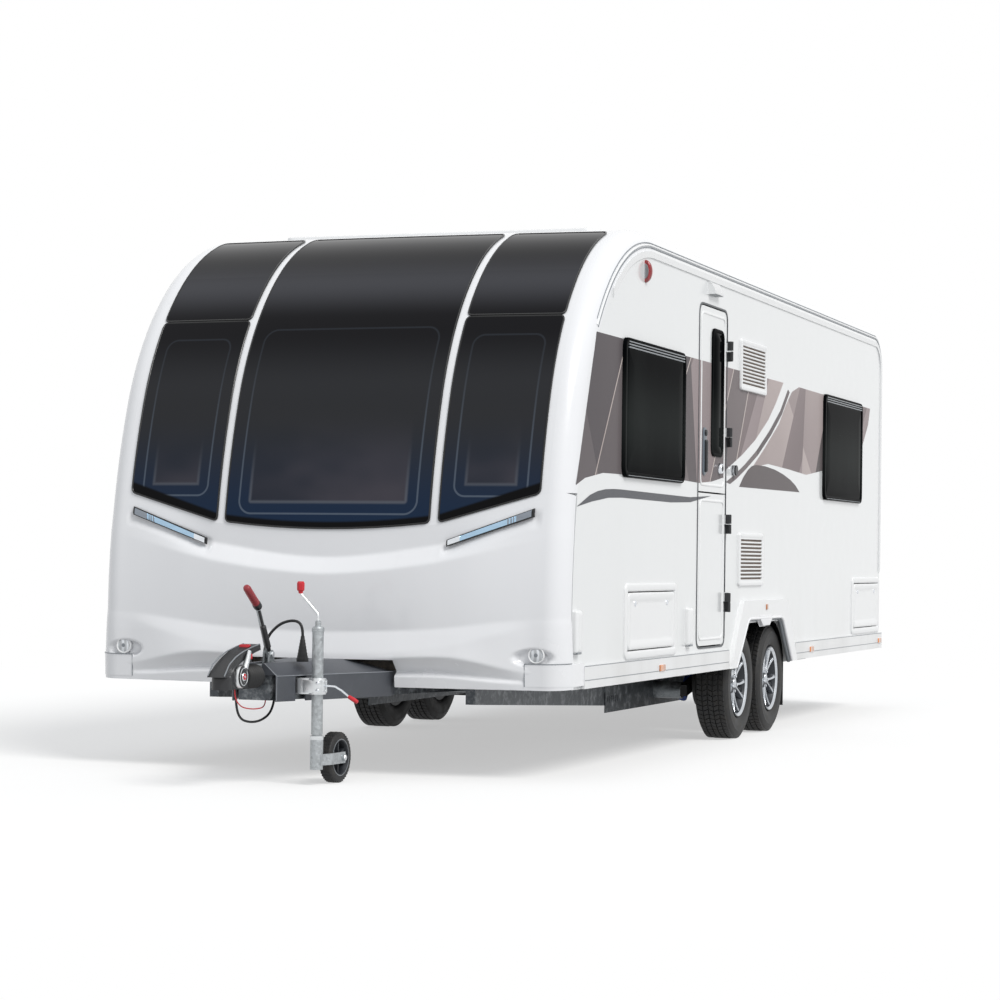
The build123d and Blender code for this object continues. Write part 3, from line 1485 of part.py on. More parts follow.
jockey_wheel = jockey_wheel_blank.part.moved(jockey_frame)
save(jockey_wheel, "jockey_wheel")
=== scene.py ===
"""The looks of a twin-axle travel caravan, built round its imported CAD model.

Metres, +Z up from the ground, the hitch towards -Y, the entrance door on the +X side.
"""

import math

import bmesh
import bpy
import numpy as np
from mathutils import Matrix, Vector


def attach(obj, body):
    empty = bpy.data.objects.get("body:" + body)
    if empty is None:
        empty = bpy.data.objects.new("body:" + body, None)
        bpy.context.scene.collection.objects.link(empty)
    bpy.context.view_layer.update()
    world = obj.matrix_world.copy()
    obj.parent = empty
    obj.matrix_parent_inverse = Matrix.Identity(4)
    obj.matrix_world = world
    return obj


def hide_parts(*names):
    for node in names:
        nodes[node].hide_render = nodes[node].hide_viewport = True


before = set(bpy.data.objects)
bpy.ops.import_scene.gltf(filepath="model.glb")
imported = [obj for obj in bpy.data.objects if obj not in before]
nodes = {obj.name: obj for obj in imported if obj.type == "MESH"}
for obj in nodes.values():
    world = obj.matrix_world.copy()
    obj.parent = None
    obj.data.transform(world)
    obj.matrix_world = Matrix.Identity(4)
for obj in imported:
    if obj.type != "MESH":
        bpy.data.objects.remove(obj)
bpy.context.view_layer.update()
scene = bpy.context.scene
CARAVAN = "caravan"


# Finishes
def shade(code):
    """A colour written as six hexadecimal digits, as linear light."""
    values = [int(code[i : i + 2], 16) / 255 for i in (0, 2, 4)]
    return tuple(v / 12.92 if v < 0.04045 else ((v + 0.055) / 1.055) ** 2.4 for v in values) + (1.0,)


class Signal:
    """One value in a finish's nodes. Arithmetic on it adds the nodes that work the result out."""

    def __init__(self, finish, socket):
        self.finish = finish
        self.socket = socket

    def apply(self, operation, *others):
        return self.finish.add("ShaderNodeMath", {"operation": operation}, dict(enumerate((self, *others))))

    def __add__(self, other):
        return self.apply("ADD", other)

    def __mul__(self, other):
        return self.apply("MULTIPLY", other)

    def __sub__(self, other):
        return self.apply("SUBTRACT", other)

    def __rsub__(self, other):
        return self * -1 + other

    def __truediv__(self, other):
        return self.apply("DIVIDE", other)

    def __pow__(self, other):
        return self.apply("POWER", other)

    def __abs__(self):
        return self.apply("ABSOLUTE")

    __radd__ = __add__
    __rmul__ = __mul__

    def least(self, other):
        return self.apply("MINIMUM", other)

    def most(self, other):
        return self.apply("MAXIMUM", other)

    def sine(self):
        return self.apply("SINE")

    def part(self):
        """What is left above the last whole number."""
        return self.apply("FRACT")

    def past(self, start, end):
        """A smooth mask that is 0 up to start and 1 from end."""
        settings = {"interpolation_type": "SMOOTHSTEP"}
        return self.finish.add("ShaderNodeMapRange", settings, {"Value": self, 1: start, 2: end})


class Finish:
    """A procedural material, drawn in the caravan's own coordinates."""

    def __init__(self, name):
        self.material = bpy.data.materials.new(name)
        self.material.use_nodes = True
        self.tree = self.material.node_tree
        self.tree.nodes.clear()
        self.place = self.add("ShaderNodeTexCoord", {}, {}, "Object")
        split = self.add("ShaderNodeSeparateXYZ", {}, {0: self.place}).socket.node
        self.x, self.y, self.z = (Signal(self, output) for output in split.outputs)

    def add(self, kind, settings, inputs, output=0):
        node = self.tree.nodes.new(kind)
        for key, value in settings.items():
            setattr(node, key, value)
        for key, value in inputs.items():
            if isinstance(value, Signal):
                self.tree.links.new(value.socket, node.inputs[key])
            else:
                node.inputs[key].default_value = value
        return Signal(self, node.outputs[output])

    def stretched(self, x, y, z):
        """The place, scaled along each axis, for textures that run longer one way."""
        return self.add("ShaderNodeMapping", {}, {"Vector": self.place, "Scale": (x, y, z)})

    def noise(self, scale, detail=3.0, rough=0.5, where=None):
        inputs = {"Vector": where or self.place, "Scale": scale, "Detail": detail, "Roughness": rough}
        return self.add("ShaderNodeTexNoise", {}, inputs)

    def blend(self, mask, under, over):
        return self.add("ShaderNodeMix", {"data_type": "RGBA"}, {0: mask, 6: under, 7: over}, 2)

    def bump(self, height, distance, strength=1.0, over=None):
        inputs = {"Height": height, "Distance": distance, "Strength": strength}
        if over is not None:
            inputs["Normal"] = over
        return self.add("ShaderNodeBump", {}, inputs)

    def shown_by(self, shader):
        """The finished material, with a shader as its surface."""
        output = self.tree.nodes.new("ShaderNodeOutputMaterial")
        self.tree.links.new(shader.socket, output.inputs["Surface"])
        return self.material

    def surface(self, inputs):
        return self.shown_by(self.add("ShaderNodeBsdfPrincipled", {}, inputs))


def moulded(name, tone, rough=0.2, grain=0.0, dirt=0.12, coat=0.5):
    """Gloss or satin moulded plastic or painted sheet with faint waves, grain and road dirt low down."""
    finish = Finish(name)
    clean = shade(tone)
    dull = tuple(c * k for c, k in zip(clean, (0.62, 0.6, 0.56, 1.0)))
    streaks = finish.noise(3.0, 5.0, 0.6, finish.stretched(1.0, 1.0, 0.18))
    low = 1 - finish.z.past(0.3, 0.95)
    soil = (streaks.past(0.42, 0.75) * 0.12 + low * streaks.past(0.3, 0.8)) * dirt
    color = finish.blend(soil, clean, dull)
    waves = finish.bump(finish.noise(2.2, 1.0), 0.0012, 0.5)
    return finish.surface({
        "Base Color": color,
        "Roughness": finish.noise(9.0, 4.0) * 0.1 + (rough - 0.05) + soil * 0.4,
        "Normal": finish.bump(finish.noise(260.0, 2.0), 0.00004 + grain, 1.0, waves),
        "Coat Weight": coat,
        "Coat Roughness": 0.06,
    })


def box_distance(finish, across, up, middle, half, radius):
    """The distance to a rounded rectangle's edge, below 0 inside it."""
    dx = abs(across - middle[0]) - (half[0] - radius)
    dz = abs(up - middle[1]) - (half[1] - radius)
    outside = (dx.most(0.0) ** 2.0 + dz.most(0.0) ** 2.0) ** 0.5
    return outside + dx.most(dz).least(0.0) - radius


def tinted_pane(name, rims):
    """Dark gloss acrylic with painted reflections in its colour. Each rim (middle, half size, corner) is the inner
    frame seen faintly through it.
    """
    finish = Finish(name)
    across = abs(finish.x)
    height = finish.z.past(1.05, 1.9)
    # Painted reflection: blue at the foot, grey in the middle, darker higher up and a paler band near the top.
    color = finish.blend(finish.z.past(1.08, 1.6), shade("1a2b43"), shade("2d2e31"))
    color = finish.blend(finish.z.past(1.7, 1.98), color, shade("151518"))
    reflection_band = 1 - abs(finish.z - 2.2).past(0.0, 0.17)
    color = finish.blend(reflection_band * 0.8, color, shade("424348"))
    cloud = finish.noise(1.8, 2.0, 0.5, finish.stretched(1.0, 1.0, 1.6)).past(0.35, 0.7)
    for middle, half, corner in rims:
        distance = box_distance(finish, across, finish.z, middle, half, corner)
        line = 1 - abs(distance).past(0.002, 0.006)
        color = finish.blend(line * 0.6 * (1 - height * 0.85), color, shade("65707e"))
        inner = (1 - (distance + 0.045).past(-0.02, 0.004)) * (1 - finish.z.past(1.2, 1.62))
        inside = finish.blend(cloud, shade("2b2c31"), shade("4d484c"))
        color = finish.blend(inner * 0.7, color, inside)
        glow = (1 - abs(distance + 0.052).past(0.0, 0.012)) * (1 - finish.z.past(1.15, 1.5))
        color = finish.blend(glow * 0.35, color, shade("7b7f86"))
    # The black edge along the foot of each pane: curved in the middle, slanting at the sides.
    centre_edge = 1 - (finish.z - across ** 2.0 * 0.126).past(1.098, 1.112)
    side_edge = 1 - (finish.z - across * 0.313).past(0.968, 0.982)
    inside_seam = across.past(0.5, 0.51)
    edge = inside_seam * side_edge + (1 - inside_seam) * centre_edge
    color = finish.blend(edge, color, shade("0a0a0c"))
    return finish.surface({
        "Base Color": color,
        "Roughness": finish.noise(6.0) * 0.02 + 0.035,
        "IOR": 1.16,
        "Normal": finish.bump(finish.noise(1.6, 1.0), 0.002, 0.4),
    })


def acrylic(name):
    """The near-black acrylic of the side windows and their frames, with a paler band of painted reflection half way
    up.
    """
    finish = Finish(name)
    cloud = finish.noise(2.5, 3.0, 0.5, finish.stretched(1.0, 1.0, 0.4)).past(0.4, 0.7)
    # Painted reflection: a paler, faintly mottled band half way up.
    reflection_band = 1 - abs(finish.z - 1.6).past(0.0, 0.3)
    color = finish.blend(reflection_band * 0.4 + cloud * 0.12, shade("08090b"), shade("343837"))
    return finish.surface({
        "Base Color": color,
        "Roughness": finish.noise(5.0) * 0.03 + 0.06,
        "IOR": 1.025,
        "Normal": finish.bump(finish.noise(1.3, 1.0), 0.002, 0.4),
    })


def coarse(name, tone, rough=0.6, grain=0.0004, fleck=0.15, metal=0.0):
    """Grained plastic, rubber or dull steel with faint flecks."""
    finish = Finish(name)
    base = shade(tone)
    light = tuple(min(1.0, c * 1.8 + 0.01) for c in base[:3]) + (1.0,)
    patch = finish.noise(14.0, 5.0, 0.65)
    color = finish.blend(patch.past(0.35, 0.8) * fleck, base, light)
    return finish.surface({
        "Base Color": color,
        "Roughness": patch * 0.2 + (rough - 0.1),
        "Metallic": metal,
        "Normal": finish.bump(finish.noise(420.0, 2.0), grain, 0.8),
    })


def spangled(name, tone="9da3a7"):
    """Hot-dip galvanised steel: crystal spangles, dull patches and white bloom."""
    finish = Finish(name)
    cells = finish.add("ShaderNodeTexVoronoi", {}, {"Vector": finish.place, "Scale": 95.0}, "Color")
    grey = finish.add("ShaderNodeRGBToBW", {}, {0: cells})
    bloom = finish.noise(18.0, 6.0, 0.7).past(0.45, 0.75)
    base = shade(tone)
    deep = tuple(c * 0.55 for c in base[:3]) + (1.0,)
    color = finish.blend(grey * 0.8, deep, base)
    color = finish.blend(bloom * 0.5, color, shade("c9cdd0"))
    return finish.surface({
        "Base Color": color,
        "Metallic": 0.75 - bloom * 0.45,
        "Roughness": grey * 0.25 + 0.3 + bloom * 0.15,
        "Normal": finish.bump(grey + finish.noise(60.0, 4.0), 0.0003, 0.6),
    })


def polished(name, tone, rough=0.12):
    """Bright metal with faint smears."""
    finish = Finish(name)
    smear = finish.noise(12.0, 5.0, 0.6, finish.stretched(1.0, 1.0, 6.0))
    base = shade(tone)
    deep = tuple(c * 0.8 for c in base[:3]) + (1.0,)
    return finish.surface({
        "Base Color": finish.blend(smear.past(0.4, 0.7) * 0.5, base, deep),
        "Metallic": 1.0,
        "Roughness": smear * 0.08 + rough,
        "Normal": finish.bump(finish.noise(300.0, 2.0), 0.00005, 0.5),
    })


def lens(name, tone, ribs=260.0):
    """A lamp lens with upright ribs."""
    finish = Finish(name)
    rib = ((finish.x + finish.y) * ribs).sine()
    base = shade(tone)
    deep = tuple(c * 0.6 for c in base[:3]) + (1.0,)
    return finish.surface({
        "Base Color": finish.blend(rib.past(-0.6, 0.9), deep, base),
        "Roughness": finish.noise(30.0) * 0.05 + 0.08,
        "Coat Weight": 0.8,
        "Normal": finish.bump(rib, 0.0006, 0.7),
    })


def tyre_rubber(name):
    """Matt black rubber with patches of dust."""
    finish = Finish(name)
    dust = finish.noise(22.0, 6.0, 0.7).past(0.4, 0.75)
    color = finish.blend(dust * 0.5, shade("17181a"), shade("4b4844"))
    return finish.surface({
        "Base Color": color,
        "Roughness": dust * 0.2 + 0.6,
        "Normal": finish.bump(finish.noise(180.0, 3.0), 0.0003, 0.6),
    })


def plywood(name):
    finish = Finish(name)
    grain = finish.noise(6.0, 6.0, 0.6, finish.stretched(12.0, 1.0, 12.0))
    return finish.surface({
        "Base Color": finish.blend(grain.past(0.3, 0.7), shade("2b2724"), shade("4c443b")),
        "Roughness": grain * 0.2 + 0.6,
        "Normal": finish.bump(grain, 0.0008, 0.5),
    })


def folded_print(name, dark, light, slope, pitch):
    """The side print's ink: bands along a slope, each shading from one edge to the other."""
    finish = Finish(name)
    facet = ((finish.y * slope + finish.z * (1 - abs(slope))) / pitch).part()
    mask = (facet * 0.75 + finish.noise(1.4, 2.0) * 0.4).past(0.1, 1.05)
    color = finish.blend(mask, shade(dark), shade(light))
    fine = finish.noise(700.0, 2.0)
    return finish.surface({
        "Base Color": color,
        "Roughness": fine * 0.1 + 0.22,
        "IOR": 1.08,
        "Normal": finish.bump(fine, 0.00003, 0.5),
    })


WHITE = moulded("body_gloss_white", "edeeef")
WALL_WHITE = moulded("wall_white", "e3e5e6", dirt=0.16)
FRONT = moulded("front_gloss_white", "e9eaed", rough=0.24)
TRIM = moulded("trim_white", "e9eaeb", rough=0.34, grain=0.00008, dirt=0.05, coat=0.2)
RAIL = moulded("rail_white", "e4e5e6", rough=0.32, dirt=0.25, coat=0.2)
DARK = coarse("trim_dark", "1d1f22", 0.42)
GASKET = coarse("gasket_black", "0d0e10", 0.3, 0.0001, 0.05)
GREY = coarse("trim_grey", "7e8388", 0.35, 0.0001, 0.1)
PANES = tinted_pane("front_pane_acrylic", [
    ((0.0, 1.56), (0.425, 0.42), 0.06),
    ((0.755, 1.58), (0.165, 0.36), 0.05),
])
WINDOWS = acrylic("side_window_acrylic")
GALVANISED = spangled("galvanised_steel")
CHASSIS = spangled("chassis_galvanised", "5d6267")
BLACK_STEEL = coarse("black_steel", "151618", 0.5, 0.0002, 0.3)
CAST_BLACK = coarse("coupling_black", "1b1c1f", 0.42, 0.0005, 0.3)
CHROME = polished("chrome", "dfe3e8", 0.08)
BLUE = coarse("damper_blue", "1d4fae", 0.35, 0.0001, 0.2)
RED = coarse("grip_red", "c3202c", 0.36, 0.0001, 0.25)
DULL_RED = coarse("grip_dark_red", "8c2a31", 0.4, 0.0001, 0.35)
RUBBER = coarse("black_rubber", "141517", 0.6, 0.0003, 0.25)
TYRE = tyre_rubber("tyre_rubber")
FACE_ALLOY = polished("alloy_machined", "c9cdd2", 0.24)
POCKET = coarse("alloy_pocket", "2b2e33", 0.45, 0.0001, 0.25, 0.3)
FAIRING = coarse("fairing_slate", "45484e", 0.45, 0.0006, 0.25)
# Light grey for rods along the fairing's edges: painted highlight.
FAIRING_HIGHLIGHT = coarse("fairing_painted_highlight", "8b8f95", 0.5, 0.0006, 0.25)
CLEAR = lens("lens_clear", "e2e6ea")
AMBER = lens("lens_amber", "d97a00", 60.0)
RED_LENS = lens("lens_red", "a3121c")
FLOOR_PLY = plywood("floor_ply")
PANE_FRAME = acrylic("window_frame_black")
HANDLE_GREY = coarse("handle_blue_grey", "5d666f", 0.35, 0.0001, 0.1)
# Brown-grey behind the vent louvres: painted shade.
VENT_SHADE = coarse("vent_shadow", "5f4f43", 0.6, 0.0002, 0.2)
# Grey for grooves, seams and the inside of the arch lips: painted shade.
RAIL_SHADE = coarse("rail_groove_painted_shade", "83888d", 0.4, 0.0001, 0.1)
# Chrome tinted sky blue: a painted reflection of the sky.
CHROME_SKY_REFLECTION = polished("chrome_painted_sky", "a9c6dd", 0.16)
STEEL_GREY = polished("smoked_chrome", "8b929b", 0.2)
SEAL = coarse("door_seal_grey", "4c4f53", 0.45, 0.0001, 0.1)
SMOKE_LENS = lens("lens_smoke", "8f9094")
ZINC = spangled("fresh_zinc", "c3c8cb")
WHITE_METAL = polished("bright_zinc", "dde0e2", 0.3)
INK_DARK = folded_print("print_slate_dark", "5a5558", "6a6466", 0.6, 0.9)
INK = folded_print("print_slate", "645e60", "7b7374", 0.6, 0.9)
INK_WARM = folded_print("print_taupe", "7f7475", "9c9091", -0.5, 0.7)
INK_PALE = folded_print("print_pale", "9d9191", "b9adab", 0.4, 0.8)
INK_ROSE = folded_print("print_rose", "5d5758", "696364", 0.3, 1.4)
INK_LIGHT = folded_print("print_crease", "b4a8a4", "ccc2bd", 0.3, 1.4)
INK_STRIPE = folded_print("print_stripe", "5a5b60", "67686c", 0.1, 1.2)

# Finishes of the nodes that are seen as the CAD model has them. The body's other panels are white, and
# pieces below take the place of the rest.
NODE_FINISHES = {
    FRONT: ["front_surround", "bumper_corners"],
    TRIM: ["wheel_spats", "roof_fittings"],
    RAIL: ["side_rails"],
    WALL_WHITE: ["side_wall_left", "side_wall_right", "door_upper", "door_lower"],
    PANES: ["front_pane_centre", "front_side_panes"],
    DARK: ["wheel_wells", "door_fittings"],
    RUBBER: ["mudflaps"],
    FLOOR_PLY: ["floor_panel"],
    GALVANISED: ["axle_beams", *(name for name in nodes if name.startswith("steady"))],
    CHASSIS: ["chassis_frame"],
    ZINC: ["jockey_inner_tube", "jockey_fork"],
    BLACK_STEEL: ["trailing_arms"],
    BLUE: ["dampers"],
    CAST_BLACK: ["coupling_head"],
    FAIRING: ["drawbar_fairing"],
}
finish_of = {name: finish for finish, names in NODE_FINISHES.items() for name in names}
for name, node in nodes.items():
    node.data.materials.clear()
    node.data.materials.append(finish_of.get(name, WHITE))

# The slot that a piece's finish belongs to, unless the piece says another.
SLOTS = {
    "body_white": [WHITE, INK_DARK, INK, INK_WARM, INK_PALE, INK_ROSE, INK_LIGHT, INK_STRIPE],
    "front_white": [FRONT],
    "trim_white": [TRIM, WALL_WHITE],
    "trim_dark": [DARK, GREY, RAIL_SHADE, SEAL, HANDLE_GREY, VENT_SHADE, PANE_FRAME, POCKET],
    "pane_dark": [GASKET, WINDOWS],
    "chrome": [CHROME, CHROME_SKY_REFLECTION, STEEL_GREY, WHITE_METAL],
    "lens_amber": [AMBER],
    "lens_clear": [CLEAR, SMOKE_LENS],
    "lens_red": [RED_LENS, RED, DULL_RED],
    "rubber": [RUBBER],
    "tyre": [TYRE],
    "galvanised": [GALVANISED, ZINC],
    "black_steel": [CAST_BLACK],
    "fairing_grey": [FAIRING_HIGHLIGHT],
}
slot_of = {finish: slot for slot, finishes in SLOTS.items() for finish in finishes}
# Up to these angles in radians between two faces their edge is shaded smooth.
SMOOTH, BROAD, ROUND = 0.6, 0.9, 1.2
X_AXIS, Y_AXIS, Z_AXIS = (1, 0, 0), (0, 1, 0), (0, 0, 1)


# Shapes
class Form:
    """A mesh that grows shape by shape and then becomes one piece of the caravan."""

    def __init__(self):
        self.mesh = bmesh.new()

    def soften(self, edges, width):
        """Rounds edges over with two narrow faces each."""
        bmesh.ops.bevel(
            self.mesh, geom=edges, offset=width, segments=2, affect="EDGES", profile=0.5, clamp_overlap=True
        )

    def block(self, low, high, bevel=0.0):
        """A block between two corners."""
        low, high = Vector(low), Vector(high)
        place = Matrix.Translation((low + high) / 2) @ Matrix.Diagonal((*(high - low), 1.0))
        verts = bmesh.ops.create_cube(self.mesh, size=1.0, matrix=place)["verts"]
        if bevel:
            edges = {edge for vert in verts for edge in vert.link_edges}
            self.soften([edge for edge in edges if edge.calc_face_angle(0) > 0.5], bevel)
        return self

    def grid(self, points, closed_u=False, closed_v=False):
        """A sheet of quads through rows of points."""
        rows = [[self.mesh.verts.new(point) for point in row] for row in points]
        height, width = len(rows), len(rows[0])
        for i in range(height if closed_u else height - 1):
            for j in range(width if closed_v else width - 1):
                one, two = rows[i], rows[(i + 1) % height]
                corners = [one[j], one[(j + 1) % width], two[(j + 1) % width], two[j]]
                if len({tuple(round(c, 7) for c in v.co) for v in corners}) > 2:
                    self.mesh.faces.new(corners)
        return rows

    def cap_ends(self, rows):
        """Closes the two ends of a grid that goes round."""
        self.mesh.faces.new(rows[0])
        self.mesh.faces.new(rows[-1])

    def close(self, rows):
        """Closes a grid that is an open channel: its two ends and the side between its long edges."""
        self.cap_ends(rows)
        for one, two in zip(rows, rows[1:]):
            self.mesh.faces.new([one[0], two[0], two[-1], one[-1]])

    def lathe(self, profile, centre, axis, steps):
        """A profile of (radius, distance along the axis) turned about the axis."""
        axis = Vector(axis).normalized()
        turn = axis.to_track_quat("Z", "Y").to_matrix()
        rows = []
        for step in range(steps):
            angle = 2 * math.pi * step / steps
            ray = Vector((math.cos(angle), math.sin(angle), 0))
            rows.append([Vector(centre) + turn @ (ray * r + Vector((0, 0, along))) for r, along in profile])
        made = self.grid(rows, closed_u=True)
        for end in (0, -1) if profile[0] != profile[-1] else ():
            if profile[end][0] > 1e-6:
                self.mesh.faces.new([row[end] for row in made])
        return self

    def shell(self, outer, inner, keep=None):
        """A sheet with thickness between two grids of points, made only in the cells that keep names."""
        height, width = len(outer) - 1, len(outer[0]) - 1
        keep = np.ones((height, width), bool) if keep is None else keep
        made = {}

        def corner(layer, i, j):
            if (layer, i, j) not in made:
                made[layer, i, j] = self.mesh.verts.new((outer, inner)[layer][i][j])
            return made[layer, i, j]

        for i, j in np.argwhere(keep):
            ring = [(i, j), (i, j + 1), (i + 1, j + 1), (i + 1, j)]
            for layer in (0, 1):
                self.mesh.faces.new([corner(layer, *spot) for spot in ring])
            for edge, (ni, nj) in enumerate(((i - 1, j), (i, j + 1), (i + 1, j), (i, j - 1))):
                if not (0 <= ni < height and 0 <= nj < width and keep[ni, nj]):
                    one, two = ring[edge], ring[(edge + 1) % 4]
                    self.mesh.faces.new([corner(0, *one), corner(0, *two), corner(1, *two), corner(1, *one)])
        return self

    def tube(self, points, radius, sides=10, closed=False):
        """A round rod along points. The radius is one number or one for each point."""
        points = [Vector(p) for p in points]
        count = len(points)
        radii = radius if hasattr(radius, "__len__") else [radius] * count
        tangents = []
        for i, point in enumerate(points):
            before = points[i - 1] if i or closed else point
            after = points[(i + 1) % count] if i < count - 1 or closed else point
            tangents.append((after - before).normalized())
        side = tangents[0].orthogonal().normalized()
        rings = []
        for i, (point, tangent) in enumerate(zip(points, tangents)):
            side = (side - tangent * side.dot(tangent)).normalized()
            other = tangent.cross(side)
            rings.append([
                point + (side * math.cos(a) + other * math.sin(a)) * radii[i]
                for a in (2 * math.pi * k / sides for k in range(sides))
            ])
        rows = self.grid(rings, closed_u=closed, closed_v=True)
        if not closed:
            self.cap_ends(rows)
        return self

    def moulding(self, side, area, radius, section, ring=False):
        """A section of (inset, stand) pairs swept round a rounded rectangle on one side of the body."""
        rows = []
        for by, stand in section:
            outline = rounded_outline(corners_of(inset(area, by)), max(radius - by, 0.0015))
            rows.append([SIDES[side](stand, point.x, point.y) for point in outline])
        made = self.grid(rows, closed_u=ring, closed_v=True)
        if not ring:
            self.cap_ends(made)
        return self

    def plate(self, outline, low, high, axis="X", bevel=0.0):
        """A flat outline given thickness along an axis; the outline's pairs are the other two axes in order."""
        spot = {"X": lambda a, b, t: (t, a, b), "Y": lambda a, b, t: (a, t, b)}[axis]
        rings = [[self.mesh.verts.new(spot(a, b, t)) for a, b in outline] for t in (low, high)]
        count = len(outline)
        for i in range(count):
            j = (i + 1) % count
            self.mesh.faces.new([rings[0][i], rings[0][j], rings[1][j], rings[1][i]])
        faces = [self.mesh.faces.new(ring) for ring in rings]
        if bevel:
            self.mesh.normal_update()
            self.soften([*faces[1].edges, *faces[0].edges], bevel)
        return self

    def moved(self, matrix):
        bmesh.ops.transform(self.mesh, matrix=matrix, verts=self.mesh.verts)
        return self

    def mirrored(self):
        """Adds the same shapes on the other side of the caravan."""
        copy = bmesh.ops.duplicate(self.mesh, geom=self.mesh.verts[:] + self.mesh.edges[:] + self.mesh.faces[:])
        verts = [g for g in copy["geom"] if isinstance(g, bmesh.types.BMVert)]
        bmesh.ops.scale(self.mesh, vec=(-1, 1, 1), verts=verts)
        return self

    def data(self, name, finish, angle=SMOOTH):
        """The form as a mesh with one finish; edges sharper than the angle stay sharp."""
        bmesh.ops.remove_doubles(self.mesh, verts=self.mesh.verts, dist=1e-6)
        bmesh.ops.recalc_face_normals(self.mesh, faces=self.mesh.faces)
        big = [face for face in self.mesh.faces if len(face.verts) > 4]
        bmesh.ops.triangulate(self.mesh, faces=big)
        mesh = bpy.data.meshes.new(name)
        self.mesh.to_mesh(mesh)
        self.mesh.free()
        for face in mesh.polygons:
            face.use_smooth = True
        mesh.set_sharp_from_angle(angle=angle)
        mesh.materials.append(finish)
        return mesh

    def piece(self, name, finish, body=CARAVAN, replaces=(), slot=None, angle=SMOOTH):
        settle(name, self.data(name, finish, angle), body, slot or slot_of[finish], replaces)


def settle(name, mesh, body, slot, replaces=()):
    """A mesh becomes a piece that rides on a body."""
    piece = bpy.data.objects.new(name, mesh)
    scene.collection.objects.link(piece)
    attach(piece, body)
    if replaces:
        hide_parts(*replaces)


def hoop(profile):
    """A profile that comes back to its first point."""
    return [*profile, profile[0]]


def inset(area, by):
    """A rectangle (low, high, bottom, top) drawn in by the same amount on all four sides."""
    low, high, bottom, top = area
    return low + by, high - by, bottom + by, top - by


def corners_of(area):
    low, high, bottom, top = area
    return [(low, bottom), (high, bottom), (high, top), (low, top)]


# Geometry Nodes: one small piece repeated about the origin.
def repeater_tree():
    tree = bpy.data.node_groups.new("repeated_piece", "GeometryNodeTree")
    kinds = {
        "Piece": "NodeSocketGeometry", "Count": "NodeSocketInt", "Turn": "NodeSocketVector",
        "Material": "NodeSocketMaterial",
    }
    for name, kind in kinds.items():
        tree.interface.new_socket(name, in_out="INPUT", socket_type=kind)
    tree.interface.new_socket("Pieces", in_out="OUTPUT", socket_type="NodeSocketGeometry")
    add = tree.nodes.new
    entry, exit_node = add("NodeGroupInput"), add("NodeGroupOutput")
    line, index, scale = add("GeometryNodeMeshLine"), add("GeometryNodeInputIndex"), add("ShaderNodeVectorMath")
    line.inputs["Offset"].default_value = (0, 0, 0)
    scale.operation = "SCALE"
    instances, realize, paint = (
        add("GeometryNodeInstanceOnPoints"), add("GeometryNodeRealizeInstances"), add("GeometryNodeSetMaterial")
    )
    for source, target in (
        (entry.outputs["Count"], line.inputs["Count"]),
        (line.outputs["Mesh"], instances.inputs["Points"]),
        (entry.outputs["Piece"], instances.inputs["Instance"]),
        (entry.outputs["Turn"], scale.inputs[0]),
        (index.outputs[0], scale.inputs["Scale"]),
        (scale.outputs[0], instances.inputs["Rotation"]),
        (instances.outputs[0], realize.inputs[0]),
        (realize.outputs[0], paint.inputs["Geometry"]),
        (entry.outputs["Material"], paint.inputs["Material"]),
        (paint.outputs[0], exit_node.inputs[0]),
    ):
        tree.links.new(source, target)
    return tree


REPEATER = repeater_tree()


def repeated(blank, finish, count, turn, place=None):
    """The blank's mesh repeated by a turn about each axis, as one mesh, then put in place by a matrix."""
    holder = bpy.data.objects.new("blank", blank)
    scene.collection.objects.link(holder)
    modifier = holder.modifiers.new("repeat", "NODES")
    modifier.node_group = REPEATER
    values = {"Count": count, "Turn": turn, "Material": finish}
    for item in REPEATER.interface.items_tree:
        if item.in_out == "INPUT" and item.name in values:
            modifier[item.identifier] = values[item.name]
    evaluated = holder.evaluated_get(bpy.context.evaluated_depsgraph_get())
    mesh = bpy.data.meshes.new_from_object(evaluated)
    bpy.data.objects.remove(holder)
    if place is not None:
        mesh.transform(place)
    return mesh


def joined(name, meshes):
    """Several meshes as one, keeping their materials."""
    whole = bpy.data.meshes.new(name)
    blank = bmesh.new()
    finishes = []
    for mesh in meshes:
        for finish in mesh.materials:
            if finish not in finishes:
                finishes.append(finish)
        first = len(blank.faces)
        blank.from_mesh(mesh)
        blank.faces.ensure_lookup_table()
        for face in blank.faces[first:]:
            face.material_index = finishes.index(mesh.materials[face.material_index])
    blank.to_mesh(whole)
    blank.free()
    for finish in finishes:
        whole.materials.append(finish)
    return whole


# The front's outer surface, from the same shares as the CAD model.
NOSE_Y, REAR_Y, HALF_WIDTH, SKIRT_Z, ROOF_Z = -2.879, 3.905, 1.108, 0.39, 2.505
FRONT_RUN, BOW_RADIUS, EDGE_RADIUS = 1.275, 14.0, 0.1
SIDES = {
    "left": lambda stand, a, b: (HALF_WIDTH + stand, a, b),
    "right": lambda stand, a, b: (-HALF_WIDTH - stand, a, b),
    "rear": lambda stand, a, b: (a, REAR_Y + stand, b),
}
# The nose's stations, low to high: the share of its run and the share of its height.
NOSE_SHARES = [(0.008, 0), (0, 0.109), (0.0235, 0.336), (0.129, 0.6), (0.447, 0.879), (1, 1)]
CORNER_X = HALF_WIDTH - EDGE_RADIUS
CORNER_ARC = EDGE_RADIUS * math.pi / 2


